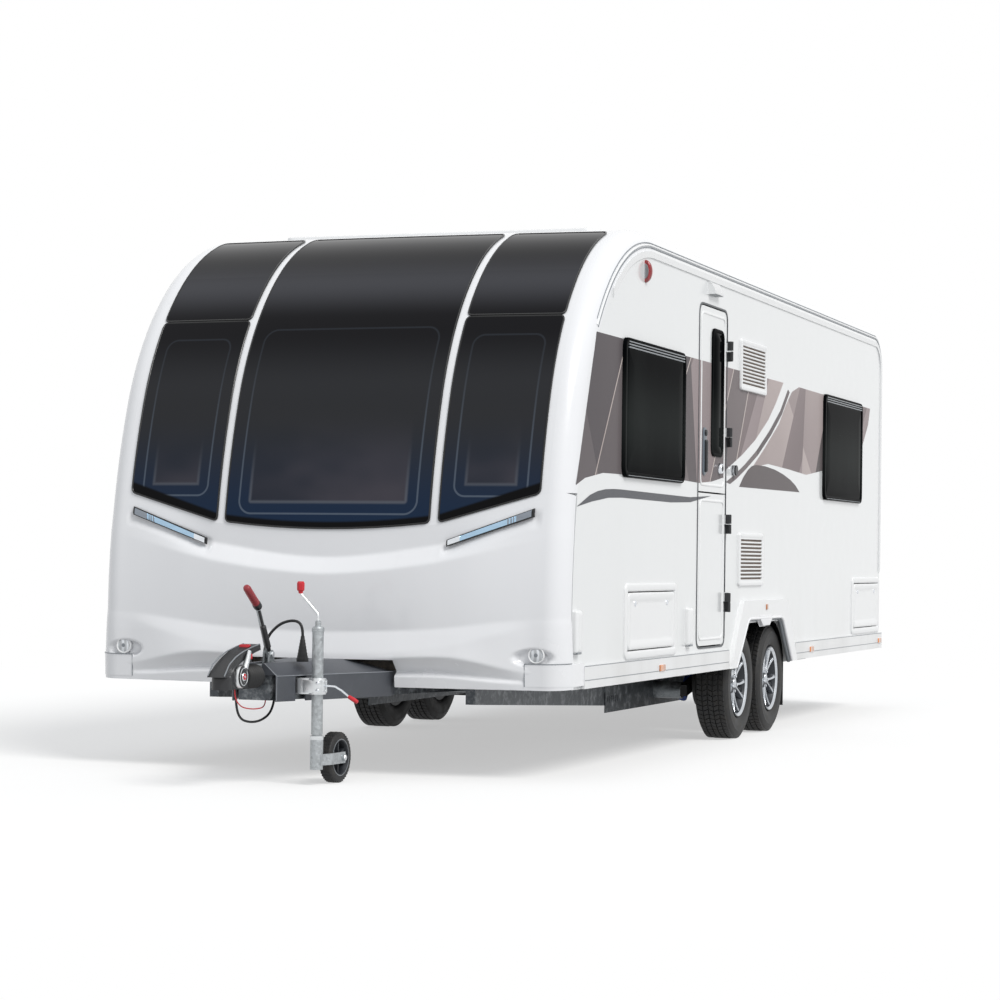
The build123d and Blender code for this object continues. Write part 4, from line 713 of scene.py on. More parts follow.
def nose_profile():
    """Points (behind, height) and outward normals down the front, from tangent arcs."""
    stations = [np.array((b * FRONT_RUN, SKIRT_Z + u * (ROOF_Z - SKIRT_Z))) for b, u in NOSE_SHARES][::-1]
    heading = np.array((-1.0, 0.0))
    points, normals = [], []
    for start, end in zip(stations[:-2], stations[1:-1]):
        chord = end - start
        side = np.array((-heading[1], heading[0]))
        reach = chord @ chord / (2 * chord @ side)
        centre = start + side * reach
        along = chord / np.linalg.norm(chord)
        turned = 2 * (heading @ along) * along - heading
        sweep = math.atan2(heading[0] * turned[1] - heading[1] * turned[0], heading @ turned)
        for share in np.linspace(0, 1, 24, endpoint=False):
            angle = sweep * share
            c, s = math.cos(angle), math.sin(angle)
            ray = start - centre
            points.append(centre + np.array((c * ray[0] - s * ray[1], s * ray[0] + c * ray[1])))
            way = np.array((c * heading[0] - s * heading[1], s * heading[0] + c * heading[1]))
            normals.append((way[1], -way[0]))
        heading = turned
    for end in stations[-2:]:
        points.append(end)
        way = (stations[-1] - stations[-2]) if end is stations[-1] else heading
        way = way / np.linalg.norm(way)
        normals.append((way[1], -way[0]))
    return np.array(points)[::-1], np.array(normals)[::-1]


PROFILE, PROFILE_NORMALS = nose_profile()
PROFILE_RUN = np.concatenate([[0], np.cumsum(np.linalg.norm(np.diff(PROFILE, axis=0), axis=1))])


def run_at(z):
    """The distance along the front's profile at a height."""
    return np.interp(z, PROFILE[:, 1], PROFILE_RUN)


def skin(across, run, lift=0.0):
    """Points on the front's skin: across from the middle and round the corner, a run up the profile, a lift."""
    across, run, lift = np.broadcast_arrays(*(np.asarray(values, float) for values in (across, run, lift)))
    behind = np.interp(run, PROFILE_RUN, PROFILE[:, 0])
    height = np.interp(run, PROFILE_RUN, PROFILE[:, 1])
    nb = -np.interp(run, PROFILE_RUN, PROFILE_NORMALS[:, 0])
    nz = np.interp(run, PROFILE_RUN, PROFILE_NORMALS[:, 1])
    size = np.hypot(nb, nz)
    nb, nz = nb / size, nz / size
    radius = BOW_RADIUS - behind
    edge = CORNER_X + EDGE_RADIUS * CORNER_X / radius * nb
    side = np.sign(across)
    x = np.minimum(np.abs(across), edge)
    depth = np.sqrt(radius**2 - x**2)
    normal = np.stack([x / radius * nb, -depth / radius * nb, nz], -1)
    base = np.stack([x, NOSE_Y + BOW_RADIUS - depth, height], -1)
    turn = np.clip((np.abs(across) - edge) / EDGE_RADIUS, 0, math.pi / 2)[..., None]
    outward = normal * np.cos(turn) + np.array((1.0, 0, 0)) * np.sin(turn)
    outward /= np.linalg.norm(outward, axis=-1, keepdims=True)
    further = np.maximum(np.abs(across) - edge - CORNER_ARC, 0)[..., None]
    back = normal.copy()
    back[..., 0] = 0
    point = base + (outward - normal) * EDGE_RADIUS - back * further + outward * lift[..., None]
    point[..., 0] *= np.where(side < 0, -1, 1)
    return point


# The sculpted lower front: a smiling ledge, a second crescent, recesses and a lower lip. Each row is a
# feature that runs across: the places across, its heights there, and how far it stands out of the skin.
FRONT_ROWS = [
    ([0, 0.53, 0.978, 1.01, 1.2], [1.069, 1.097, 1.234, 1.243, 1.243], [0, 0, 0, 0, 0]),
    ([0, 0.26, 0.41, 0.58, 0.76, 1.0], [0.942, 0.965, 0.994, 1.009, 1.07, 1.15],
     [-0.014, -0.014, -0.014, -0.012, 0, 0]),
    ([0, 0.45, 0.68, 0.855, 1.0], [0.868, 0.913, 0.958, 1.008, 1.05], [0.03, 0.03, 0.024, 0.01, 0.002]),
    ([0, 0.5, 0.74, 0.95], [0.62, 0.637, 0.669, 0.697], [0.014, 0.014, 0.01, 0.002]),
    ([0, 0.37, 0.62, 0.8, 0.95], [0.528, 0.538, 0.572, 0.622, 0.68], [0.05, 0.048, 0.038, 0.022, 0.004]),
    ([0.11, 0.3, 0.46, 0.65, 0.73, 0.82, 0.95], [0.5, 0.51, 0.522, 0.542, 0.511, 0.475, 0.455],
     [0.054, 0.054, 0.052, 0.05, 0.042, 0.03, 0.014]),
    ([0.3, 0.46, 0.61, 0.71, 0.82, 0.95], [0.452, 0.458, 0.464, 0.449, 0.431, 0.424],
     [-0.008, -0.006, -0.004, 0.0, 0.004, 0.01]),
    ([0.3, 0.46, 0.61, 0.71, 0.82, 0.95], [0.437, 0.442, 0.448, 0.433, 0.418, 0.413],
     [0.026, 0.026, 0.026, 0.024, 0.02, 0.013]),
    ([0, 0.6, 0.95], [0.366, 0.366, 0.39], [0.02, 0.02, 0.012]),
]
FRONT_CUT = (0.352, 0.509)  # the opening over the drawbar: half its width, its top
LAMP_DISH = ((0.972, 0.528), (0.09, 0.041))  # the oval round each front lamp: its middle and half size


def eased(share):
    """A share from 0 to 1 that starts and ends gently."""
    return share * share * (3 - 2 * share)


def spread(rows, times):
    """Rows of values evened out along their length, again and again; the two ends stay."""
    for _ in range(times):
        rows[:, 1:-1] = (rows[:, :-2] + 2 * rows[:, 1:-1] + rows[:, 2:]) / 4


def lower_front():
    cut_x, cut_z = FRONT_CUT
    half = np.unique(np.concatenate([np.linspace(0, 1.167, 92), [cut_x]]))
    across = np.concatenate([-half[:0:-1], half])
    wide = np.abs(across)
    heights = np.array([np.interp(wide, at, z) for at, z, _ in FRONT_ROWS])[::-1]
    lifts = np.array([np.interp(wide, at, out) for at, _, out in FRONT_ROWS])[::-1]
    spread(heights[:-1], 170)
    shares = np.concatenate([np.linspace(0, 1, 40)[:-1], np.linspace(1, 2, 116)])
    low_count = int((shares < 1).sum())
    grid_z = np.array([np.interp(shares, [0, 1, 2], [column[0], cut_z, column[-1]]) for column in heights.T]).T
    lift = np.array([np.interp(z, h, out) for z, h, out in zip(grid_z.T, heights.T, lifts.T)]).T
    spread(lift.T, 2)
    spread(lift, 5)
    (lamp_x, lamp_z), (dish_width, dish_height) = LAMP_DISH
    oval = np.hypot((wide[None, :] - lamp_x) / dish_width, (grid_z - lamp_z) / dish_height)
    dip = np.clip((1.0 - oval) / 0.26, 0, 1)
    lift = lift * (1 - dip) - 0.014 * eased(dip)
    slope = np.interp(wide, [0.571, 0.941], [1.006, 1.136])[None, :]
    under_handle = ((wide > 0.56) & (wide < 0.975))[None, :]
    pocket = np.clip(1 - np.abs(grid_z - slope + 0.012) / 0.05, 0, 1) * under_handle
    lift = lift - 0.008 * eased(pocket)
    run = run_at(grid_z)
    keep = np.ones((len(shares) - 1, len(across) - 1), bool)
    keep[:low_count, (wide[1:] + wide[:-1]) / 2 < cut_x] = False
    form = Form().shell(skin(across[None, :], run, lift), skin(across[None, :], run, -0.03), keep)
    form.piece("front_lower_moulding", FRONT, replaces=["front_lower_panel"], angle=BROAD)


lower_front()


# Joints between the corner caps and the front, drawn as grey lines of painted shade.
CAP_X, CAP_TOP, SEAM_LIFT = 0.935, 0.503, 0.0142


def cap_seams():
    seams = Form()
    for across, z in (
        (np.linspace(CAP_X, 1.15, 14), np.full(14, CAP_TOP)),
        (np.full(8, CAP_X), np.linspace(CAP_TOP, 0.406, 8)),
    ):
        seams.tube(skin(across, run_at(z), SEAM_LIFT), 0.0021, 6)
    seams.mirrored().piece("corner_cap_seams", RAIL_SHADE, angle=ROUND)


cap_seams()


# Gaskets round the front panes.
def rounded_outline(corners, radius):
    """Corner points with each corner rounded, as a closed outline."""
    outline = []
    count = len(corners)
    for i in range(count):
        before, here, after = (Vector(corners[k % count]) for k in (i - 1, i, i + 1))
        one, two = (before - here).normalized(), (after - here).normalized()
        reach = min(radius, (before - here).length / 2, (after - here).length / 2)
        for share in np.linspace(0, 1, 7).tolist():
            a, b = here + one * reach * (1 - share) ** 2, here + two * reach * share**2
            outline.append(a + b - here)
    return outline


def filled(outline):
    """A closed outline with a point at least every 30 mm, so that it can follow a curved skin."""
    points = []
    for i, point in enumerate(outline):
        after = outline[(i + 1) % len(outline)]
        count = max(1, int((after - point).length / 0.03))
        points += [point.lerp(after, step / count) for step in range(count)]
    return points


PANE_OUTLINES = {
    "centre": [(-0.487, 2.465), (-0.487, 1.104)]
    + [(x, 1.076 + 0.028 * (x / 0.487) ** 2) for x in (-0.36, -0.24, -0.12, 0.0, 0.12, 0.24, 0.36)]
    + [(0.487, 1.104), (0.487, 2.465)],
    "upper": [(0.53, 2.465), (0.53, 2.032), (0.978, 2.032), (0.978, 2.465)],
    "lower": [(0.53, 2.024), (0.53, 1.106), (0.978, 1.234), (0.978, 2.024)],
}


def pane_trims():
    form = Form()
    for name, corners in PANE_OUTLINES.items():
        for side in (1, -1) if name != "centre" else (1,):
            outline = filled(rounded_outline([(side * x, z) for x, z in corners], 0.022))
            flat = np.array([(p.x, p.y) for p in outline])
            points = skin(flat[:, 0], run_at(flat[:, 1]), 0.004)
            form.tube(points, 0.0045, 8, closed=True)
    form.piece("pane_gaskets", GASKET)


pane_trims()


# Windows: slightly crowned panes, each with a dark frame, a striped hinge rail and a grey sill.
SIDE_WINDOWS = {
    "left": [(-2.03, -1.04), (2.09, 3.145)],
    "right": [(-2.03, -1.04), (-0.56, 0.44), (2.09, 3.145)],
}
WINDOW_Z = (1.342, 1.957)
REAR_WINDOW = (-0.56, 0.56, 1.4, 1.957)
DOOR_WINDOW = (-0.49, -0.27, 1.496, 2.135)
WINDOW_CORNER = 0.045
PANE_SECTION = [(0.003, 0.0), (0.003, 0.007), (0.012, 0.0135), (0.05, 0.0165), (0.12, 0.0185)]
FRAME_SECTION = [
    (-0.012, 0.0), (-0.012, 0.014), (-0.009, 0.0185), (0.006, 0.0195), (0.014, 0.0165), (0.018, 0.0),
]
DOOR_PANE_SECTION = [(0, 0), (0, 0.005), (0.003, 0.0065)]
DOOR_FRAME_SECTION = [
    (-0.008, 0), (-0.008, 0.005), (-0.005, 0.0075), (0.003, 0.009), (0.009, 0.0085), (0.012, 0),
]


def windows():
    panes, frames, rails = Form(), Form(), Form()
    side_areas = [(side, (*ends, *WINDOW_Z)) for side, places in SIDE_WINDOWS.items() for ends in places]
    for side, area in [*side_areas, ("rear", REAR_WINDOW)]:
        panes.moulding(side, area, WINDOW_CORNER, PANE_SECTION)
        frames.moulding(side, area, WINDOW_CORNER, FRAME_SECTION, ring=True)
    for side, (low, high, bottom, top) in side_areas:
        for number in range(3):
            z = top - 0.006 - number * 0.013
            rails.tube([SIDES[side](0.0165, y, z) for y in (low + 0.035, high - 0.02)], 0.0038, 8)
        sill = (low + 0.04, high - 0.04, bottom - 0.006, bottom + 0.006)
        rails.moulding(side, sill, 0.004, [(0, 0.004), (0, 0.017), (0.002, 0.019)])
    panes.piece("window_panes", WINDOWS, replaces=["body_windows"], angle=BROAD)
    frames.piece("window_frames", PANE_FRAME)
    rails.piece("window_rails", GREY)
    pane = Form().moulding("left", DOOR_WINDOW, WINDOW_CORNER, DOOR_PANE_SECTION)
    pane.piece("door_window_pane", WINDOWS, "door_upper", ["door_window"], angle=BROAD)
    surround = Form().moulding("left", DOOR_WINDOW, WINDOW_CORNER, DOOR_FRAME_SECTION, ring=True)
    surround.piece("door_window_frame", PANE_FRAME, "door_upper")


windows()


# The entrance door: a dark seal round it, raised beads on both halves, handle, catches and hinges.
DOOR = (-0.73, -0.19, 0.515, 2.25)
SEAL_SECTION = [(-0.007, -0.003), (-0.007, 0.003), (0.0015, 0.003), (0.0015, -0.003)]
BEAD = [(0.0, 0.0), (0.001, 0.003), (0.004, 0.0045), (0.009, 0.0045), (0.012, 0.003), (0.013, 0.0)]
DOOR_HALVES = {"door_lower": (-0.725, -0.195, 0.52, 1.297), "door_upper": (-0.725, -0.195, 1.303, 2.245)}
HINGE_HEIGHTS = {"door_lower": (0.738, 1.145), "door_upper": (1.596, 2.046)}
HINGE_PLACE = (HALF_WIDTH + 0.025, -0.19, 0)
HANDLE_BASE = [(0, 0), (0, 0.004), (0.004, 0.008), (0.01, 0.009)]
HANDLE_GRIP = [(0, 0.006), (0, 0.016), (0.004, 0.021), (0.01, 0.0225)]
HANDLE_LOCK = [(0, 0.006), (0.016, 0.006), (0.016, 0.014), (0.012, 0.018), (0, 0.018)]
CATCH_RING = [(0, 0), (0.027, 0), (0.027, 0.016), (0.024, 0.021), (0.0185, 0.0215), (0.0165, 0.017), (0, 0.017)]
CATCH_HEART = [(0, 0.012), (0.015, 0.012), (0.015, 0.0215), (0.011, 0.0238), (0, 0.0238)]


def hinge(half, number, z):
    """A sleeve and leaf on the door half, above the same on the wall."""
    for role, body, low, high, leaf in (
        ("moving", half, z + 0.0015, z + 0.05, -0.205),
        ("fixed", CARAVAN, z - 0.05, z - 0.0015, -0.183),
    ):
        foot = [(0, low), (0.0075, low), (0.0093, low + 0.002)]
        head = [(0.0093, high - 0.002), (0.0075, high), (0, high)]
        sleeve = Form().lathe(foot + head, HINGE_PLACE, Z_AXIS, 20)
        sleeve.block((HALF_WIDTH + 0.0008, leaf, low), (HALF_WIDTH + 0.0265, leaf + 0.008, high), 0.0012)
        sleeve.piece(f"hinge_sleeve_{half}_{number}_{role}", DARK, body)


def entrance():
    Form().moulding("left", DOOR, 0.062, SEAL_SECTION, ring=True).piece("door_seal", SEAL)
    for half, area in DOOR_HALVES.items():
        beads = Form().moulding("left", inset(area, 0.03), 0.045, BEAD, ring=True)
        beads.piece(half + "_beads", WHITE, half)
    for half, heights in HINGE_HEIGHTS.items():
        for number, z in enumerate(heights):
            hinge(half, number, z)
    base = Form().moulding("left", (-0.657, -0.593, 1.385, 1.628), 0.03, HANDLE_BASE)
    base.piece("door_handle_base", HANDLE_GREY, "door_upper")
    grip = Form().moulding("left", (-0.639, -0.611, 1.4, 1.565), 0.013, HANDLE_GRIP)
    grip.lathe(HANDLE_LOCK, (HALF_WIDTH, -0.625, 1.6), X_AXIS, 24)
    grip.piece("door_handle_grip", DARK, "door_upper", ["door_handle"])
    for name, y, body in (("door_catch", -0.33, "door_upper"), ("wall_catch", -0.05, CARAVAN)):
        centre = (HALF_WIDTH, y, 1.43)
        Form().lathe(CATCH_RING, centre, X_AXIS, 40).piece(name + "_ring", CHROME, body)
        Form().lathe(CATCH_HEART, centre, X_AXIS, 32).piece(name + "_heart", DARK, body)


entrance()


# Refrigerator vents: a rounded frame, level white louvres and a sheet of painted shade behind them.
VENTS = [(0.075, 0.635, 1.864, 2.136), (0.075, 0.6, 0.821, 1.105)]
VENT_FRAME = [(0, 0), (0, 0.006), (0.003, 0.0115), (0.009, 0.013), (0.024, 0.0125), (0.03, 0.009), (0.03, 0)]
VENT_SLAT = [(0, 0.002), (0, 0.0085), (0.0015, 0.0105), (0.003, 0.011)]
SLATS = 12


def vents():
    white, dark = Form(), Form()
    for area in VENTS:
        low, high, bottom, top = area
        white.moulding("left", area, 0.02, VENT_FRAME, ring=True)
        # A dark sheet behind the louvres: painted shade.
        dark.moulding("left", inset(area, 0.02), 0.01, [(0, 0.0005), (0, 0.003), (0.001, 0.0035)])
        left, right, lowest, highest = inset(area, 0.026)
        pitch = (top - bottom - 0.06) / (SLATS - 1)
        for number in range(SLATS):
            z = bottom + 0.03 + number * pitch
            slat = (left, right, max(z - 0.24 * pitch, lowest), min(z + 0.24 * pitch, highest))
            white.moulding("left", slat, 0.002, VENT_SLAT)
        for y in (low + 0.04, high - 0.04):
            stud = [(0, 0.011), (0.007, 0.011), (0.006, 0.0145), (0, 0.0145)]
            white.lathe(stud, (HALF_WIDTH, y, top - 0.014), X_AXIS, 16)
    white.piece("vent_grilles", TRIM, replaces=["fridge_vents"])
    dark.piece("vent_painted_shade", VENT_SHADE)


vents()


# Outside lockers and the service hatch: a rounded frame, and a panel with a ledge and two locks.
LOCKERS = {"front": (-1.97, -1.115, 0.495, 0.845), "rear": (2.95, 3.79, 0.497, 0.86)}
HATCH = (1.65, 1.95, 0.62, 0.9)
LOCKER_FRAME = [
    (0, 0), (0, 0.004), (0.003, 0.0075), (0.008, 0.009), (0.03, 0.009), (0.035, 0.0075), (0.038, 0.003),
    (0.038, 0),
]
LOCKER_DOOR = [
    (0, -0.014), (0, 0.005), (0.003, 0.0082), (0.01, 0.009), (0.03, 0.0088), (0.04, 0.0045), (0.05, 0.004),
    (0.09, 0.0045),
]
HATCH_DOOR = [(0, 0), (0, 0.004), (0.003, 0.008), (0.02, 0.0088), (0.028, 0.005), (0.04, 0.0045)]


def lock(side, y, z, base):
    profile = [(0, base), (0.013, base), (0.012, base + 0.004), (0.009, base + 0.005), (0, base + 0.005)]
    return profile, SIDES[side](0, y, z), X_AXIS if side == "left" else (-1, 0, 0), 24


def lockers():
    frames = Form()
    for end, area in LOCKERS.items():
        frames.moulding("left", area, 0.038, LOCKER_FRAME, ring=True)
        door_area = inset(area, 0.043)
        low, high, _, top = door_area
        door = Form().moulding("left", door_area, 0.03, LOCKER_DOOR)
        door.piece(f"locker_panel_{end}", TRIM, f"locker_{end}", [f"locker_door_{end}"], angle=BROAD)
        locks = Form()
        for y in (low + 0.12, high - 0.12):
            locks.lathe(*lock("left", y, top - 0.05, 0.004))
        locks.piece(f"locker_locks_{end}", CHROME, f"locker_{end}")
    frames.moulding("right", HATCH, 0.03, LOCKER_FRAME, ring=True)
    frames.moulding("right", inset(HATCH, 0.04), 0.025, HATCH_DOOR)
    frames.piece("locker_surrounds", TRIM, replaces=["locker_frames"], angle=BROAD)
    Form().lathe(*lock("right", 1.8, 0.82, 0.0045)).piece("hatch_lock", CHROME)


lockers()


# Trim along the walls: awning rail lines and skirt lines in grey painted shade, wheel arch lips with painted shade
# inside them, grab mouldings, lamps.
ROOF_CORNER = 0.29  # the radius that the wall's outline turns with, from the roof to the rear
RAIL_FRONT_Y, RAIL_FOOT_Z = -2.42, 0.9  # where the awning rail starts and ends
ARCH_Y = 0.62  # the middle of the wheel arch
ARCH_CORNERS = [(-0.008, 0.392), (0.235, 0.645), (2 * ARCH_Y - 0.235, 0.645), (2 * ARCH_Y + 0.008, 0.392)]
GRAB_SECTION = [(0, 0), (0, 0.013), (0.004, 0.02), (0.011, 0.024), (0.02, 0.0245)]


def inset_line(depth, stand):
    """Points along a wall's front and roof edge, drawn in from the outline, down onto its rounded edge."""
    bow = BOW_RADIUS - math.sqrt(BOW_RADIUS**2 - HALF_WIDTH**2)
    front = [
        (NOSE_Y + bow + y - ny * depth, z - nz * depth)
        for (y, z), (ny, nz) in zip(PROFILE, PROFILE_NORMALS)
    ]
    front = [point for point in front if point[0] > RAIL_FRONT_Y]
    radius = ROOF_CORNER - depth
    rear = [
        (REAR_Y - ROOF_CORNER + radius * math.sin(a), ROOF_Z - ROOF_CORNER + radius * math.cos(a))
        for a in np.linspace(0, math.pi / 2, 14)
    ]
    fall = EDGE_RADIUS - math.sqrt(EDGE_RADIUS**2 - max(EDGE_RADIUS - depth, 0) ** 2)
    return [(HALF_WIDTH - fall + stand, *point) for point in front + rear + [(REAR_Y - depth, RAIL_FOOT_Z)]]


def arch_outline():
    """The wheel arch's line, with its two upper corners rounded."""
    first, *uppers, last = ARCH_CORNERS
    arch = [first]
    for before, corner, after in zip(ARCH_CORNERS, uppers, ARCH_CORNERS[2:]):
        here = Vector(corner)
        one, two = (here + (Vector(other) - here).normalized() * 0.045 for other in (before, after))
        for t in np.linspace(0, 1, 8):
            arch.append(tuple((one * (1 - t) + here * t) * (1 - t) + (here * (1 - t) + two * t) * t))
    return [*arch, last]


def wall_trim():
    rails = Form()
    for depth in (0.06, 0.082):
        rails.tube(inset_line(depth, 0.0012), 0.003, 6)
    rails.mirrored().piece("awning_rail_lines", RAIL_SHADE, angle=ROUND)
    bead = Form().tube(inset_line(0.071, 0.001), 0.0062, 8).mirrored()
    bead.piece("awning_rail_bead", WHITE, angle=ROUND)
    lines = Form()
    for ends in ((-2.595, -0.14), (1.38, 3.835)):
        for stand, z, radius in ((0.0165, 0.4265, 0.0022), (0.015, 0.4875, 0.003)):
            lines.tube([(HALF_WIDTH + stand, y, z) for y in ends], radius, 6)
    lines.mirrored().piece("skirt_lines", RAIL_SHADE, angle=ROUND)
    arch = arch_outline()
    lip = Form().tube([(HALF_WIDTH + 0.0225, y, z) for y, z in arch], 0.0085)
    lip.mirrored().piece("wheel_arch_lip", FRONT, angle=ROUND)
    # A grey rod just inside the lip: painted shade under it.
    arch_shade = Form().tube([(HALF_WIDTH + 0.004, y, z - 0.004) for y, z in arch], 0.012)
    arch_shade.mirrored().piece("wheel_arch_painted_shade", RAIL_SHADE, angle=ROUND)
    tab = [(ARCH_Y - 0.165, 0.66), (ARCH_Y + 0.165, 0.66), (ARCH_Y + 0.075, 0.602), (ARCH_Y - 0.075, 0.602)]
    tabs = Form().plate(tab, HALF_WIDTH + 0.006, HALF_WIDTH + 0.029, bevel=0.005)
    tabs.mirrored().piece("wheel_arch_tabs", FRONT)
    grabs, feet = Form(), Form()
    for y, z in ((-2.69, 0.64), (-0.898, 0.626)):
        for side in ("left", "right"):
            grabs.moulding(side, (y - 0.039, y + 0.039, z - 0.093, z + 0.093), 0.012, GRAB_SECTION)
            foot = (y - 0.03, y + 0.03, z - 0.097, z - 0.087)
            feet.moulding(side, foot, 0.004, [(0, 0.003), (0, 0.02), (0.003, 0.0225)])
    grabs.piece("grab_moulding_covers", TRIM, replaces=["grab_mouldings"])
    feet.piece("grab_moulding_feet", GREY)


wall_trim()


SIDE_MARKERS = [(-1.4, 0.44, 0.015), (1.764, 0.44, 0.015), (3.755, 0.44, 0.015), (0.62, 0.704, 0.024)]
LAMP_RING = [
    (0, 0.018), (0.036, 0.018), (0.0365, 0.005), (0.034, 0.0), (0.031, 0.0015), (0.0305, 0.006), (0, 0.006),
]
LAMP_GLASS = [(0, 0.0), (0.012, 0.0004), (0.022, 0.002), (0.0295, 0.0055), (0.0295, 0.012), (0, 0.012)]
LAMP_HEART = [(0, -0.0008), (0.0085, -0.0002), (0.0095, 0.002), (0.0095, 0.006), (0, 0.006)]
FRONT_LAMP_X, FRONT_LAMP_Y, FRONT_LAMP_Z = 0.985, NOSE_Y + 0.0345 - 0.0052, 0.541
HIGH_MARKER_Y, HIGH_MARKER_Z = -1.69, 2.302
AWNING_LAMP = [(1.108, 2.31), (1.141, 2.311), (1.1415, 2.324), (1.118, 2.369), (1.108, 2.37)]
AWNING_LENS = [(1.11, 2.3075), (1.136, 2.3085), (1.136, 2.3135), (1.11, 2.3125)]


def high_marker(reach, tall, half):
    """Half an oval standing off the wall, a little smaller at its two faces."""
    form, rows = Form(), []
    for across, shrink in ((-1, 0.86), (-0.7, 0.97), (0, 1), (0.7, 0.97), (1, 0.86)):
        y = HIGH_MARKER_Y + half * across
        rows.append([
            (HALF_WIDTH + reach * shrink * math.cos(a), y, HIGH_MARKER_Z + tall * shrink * math.sin(a))
            for a in np.linspace(-math.pi / 2, math.pi / 2, 25)
        ])
    form.close(form.grid(rows))
    return form.mirrored()


def side_lamps():
    amber, base = Form(), Form()
    for y, z, back in SIDE_MARKERS:
        for side in ("left", "right"):
            half = 0.05 if z < 0.5 else 0.02
            base_area = (y - half, y + half, z - 0.018, z + 0.018)
            base.moulding(side, base_area, 0.008, [(0, back), (0, back + 0.0035), (0.002, back + 0.0045)])
            low, high, bottom, top = base_area
            section = [(0, back + 0.002), (0, back + 0.0065), (0.002, back + 0.0085), (0.006, back + 0.0095)]
            amber.moulding(side, (low + 0.001, high - 0.001, bottom + 0.002, top - 0.002), 0.007, section)
    base.piece("side_marker_bases", TRIM)
    amber.piece("side_marker_lenses", AMBER, replaces=["side_markers"])
    high_marker(0.0335, 0.054, 0.0145).piece("high_marker_rims", RED_LENS, angle=0.8)
    high_marker(0.021, 0.04, 0.0165).piece("high_marker_fronts", SMOKE_LENS, angle=0.8)
    Form().plate(AWNING_LAMP, -0.573, -0.383, "Y", 0.004).piece("awning_lamp_body", TRIM)
    Form().plate(AWNING_LENS, -0.565, -0.391, "Y", 0.001).piece("awning_lamp_lens", GREY)
    for name, profile, steps, finish, replaces in (
        ("front_lamp_bezels", LAMP_RING, 40, TRIM, ["white_lamps"]),
        ("front_lamp_lenses", LAMP_GLASS, 40, CLEAR, ()),
        ("front_lamp_hearts", LAMP_HEART, 24, GREY, ()),
    ):
        lamps = Form()
        for sign in (1, -1):
            lamps.lathe(profile, (sign * FRONT_LAMP_X, FRONT_LAMP_Y, FRONT_LAMP_Z), Y_AXIS, steps)
        lamps.piece(name, finish, replaces=replaces)


side_lamps()


# The bright wedge handles under the side panes: a black back, a bright wedge and a barred outer end.
WEDGE_INNER, WEDGE_WIDTH = 0.572, 0.388
BAR_LINES = (1.003, 1.1355), (1.025, 1.164)


def wedge(name, finish, lines, span, under, over, count=24, **more):
    """A band on the front's skin between two slanting lines, each (height at the inner end, at the outer)."""
    low, high = lines
    start, end = span
    across = WEDGE_INNER + WEDGE_WIDTH * (start + (end - start) * np.linspace(0, 1, count))
    share = (across - WEDGE_INNER) / WEDGE_WIDTH
    bottom = low[0] + (low[1] - low[0]) * share
    top = high[0] + (high[1] - high[0]) * share
    rows = np.linspace(0, 1, 5)[:, None]
    run = run_at(bottom[None, :] + (top - bottom)[None, :] * rows)
    crown = np.sin(np.pi * rows) ** 0.5
    outer = skin(across[None, :], run, under + (over - under) * (0.55 + 0.45 * crown))
    Form().shell(outer, skin(across[None, :], run, under)).mirrored().piece(name, finish, **more)


def wedge_handles():
    back = {"replaces": ["bright_handles"], "slot": "chrome"}
    wedge("handle_backs", GASKET, ((1.0, 1.1315), (1.03, 1.169)), (0.0, 1.0), 0.0, 0.009, **back)
    # The wedge's blue tint is a painted sky reflection.
    wedge("handle_wedges", CHROME_SKY_REFLECTION, ((1.004, 1.1365), (1.024, 1.163)), (0.03, 0.965), 0.008, 0.0145)
    for number, span in enumerate(((0.7, 0.715), (0.735, 0.75), (0.765, 0.775), (0.8, 0.97))):
        wedge(f"handle_bars_{number}", STEEL_GREY, BAR_LINES, span, 0.012, 0.0152, 4)
    wedge("handle_tips", CHROME, BAR_LINES, (0.02, 0.16), 0.012, 0.0152, 5)


wedge_handles()


# Print on the walls: plain slanting facets, like folded paper, a sweep, a dome and a stripe.
INK_DEPTH = 0.0004
FOLD_TOP, FOLD_LOW = 2.0, 1.2  # the heights between which a crease is given
DOOR_PRINT, WALL_PRINT = (-0.7245, -0.1955), (-0.7315, -0.1885)  # the print's ends on the door and beside it
FIRST_PANEL = [
    (-2.429, 1.958), (1.062, 1.966), (0.892, 1.842), (0.716, 1.737), (0.429, 1.613), (0.146, 1.52), (-0.03, 1.471),
    (-0.205, 1.425), (-0.222, 1.388), (-0.463, 1.359), (-0.712, 1.344), (-0.987, 1.348), (-2.027, 1.342),
    (-2.315, 1.339), (-2.575, 1.308), (-2.7, 1.274),
]
SECOND_PANEL = [
    (1.447, 1.966), (3.461, 1.957), (3.404, 1.849), (3.223, 1.698), (2.9, 1.61), (2.5, 1.545), (2.072, 1.503),
    (1.65, 1.465), (1.246, 1.48), (0.723, 1.494), (0.365, 1.459), (0.65, 1.58), (0.969, 1.729), (1.131, 1.845),
    (1.274, 1.928),
]
SWEEP = [
    (1.175, 1.935), (0.995, 1.803), (0.745, 1.677), (0.46, 1.556), (0.205, 1.47), (-0.025, 1.404), (-0.185, 1.365),
    (-0.1, 1.357), (0.03, 1.388), (0.235, 1.448), (0.49, 1.532), (0.78, 1.655), (1.03, 1.783), (1.215, 1.92),
]
DOME = [
    (0.09, 1.348), (0.18, 1.402), (0.279, 1.445), (0.36, 1.468), (0.453, 1.478), (0.66, 1.478), (0.887, 1.467),
    (1.08, 1.448), (1.249, 1.423), (1.38, 1.395), (1.486, 1.358),
]
STRIPE = [
    (-2.69, 1.18), (-2.501, 1.236), (-2.39, 1.256), (-2.282, 1.267), (-2.15, 1.272), (-2.024, 1.273), (-0.87, 1.268),
    (-0.475, 1.285), (-0.87, 1.243), (-1.214, 1.234), (-2.023, 1.236), (-2.236, 1.23), (-2.471, 1.208),
]


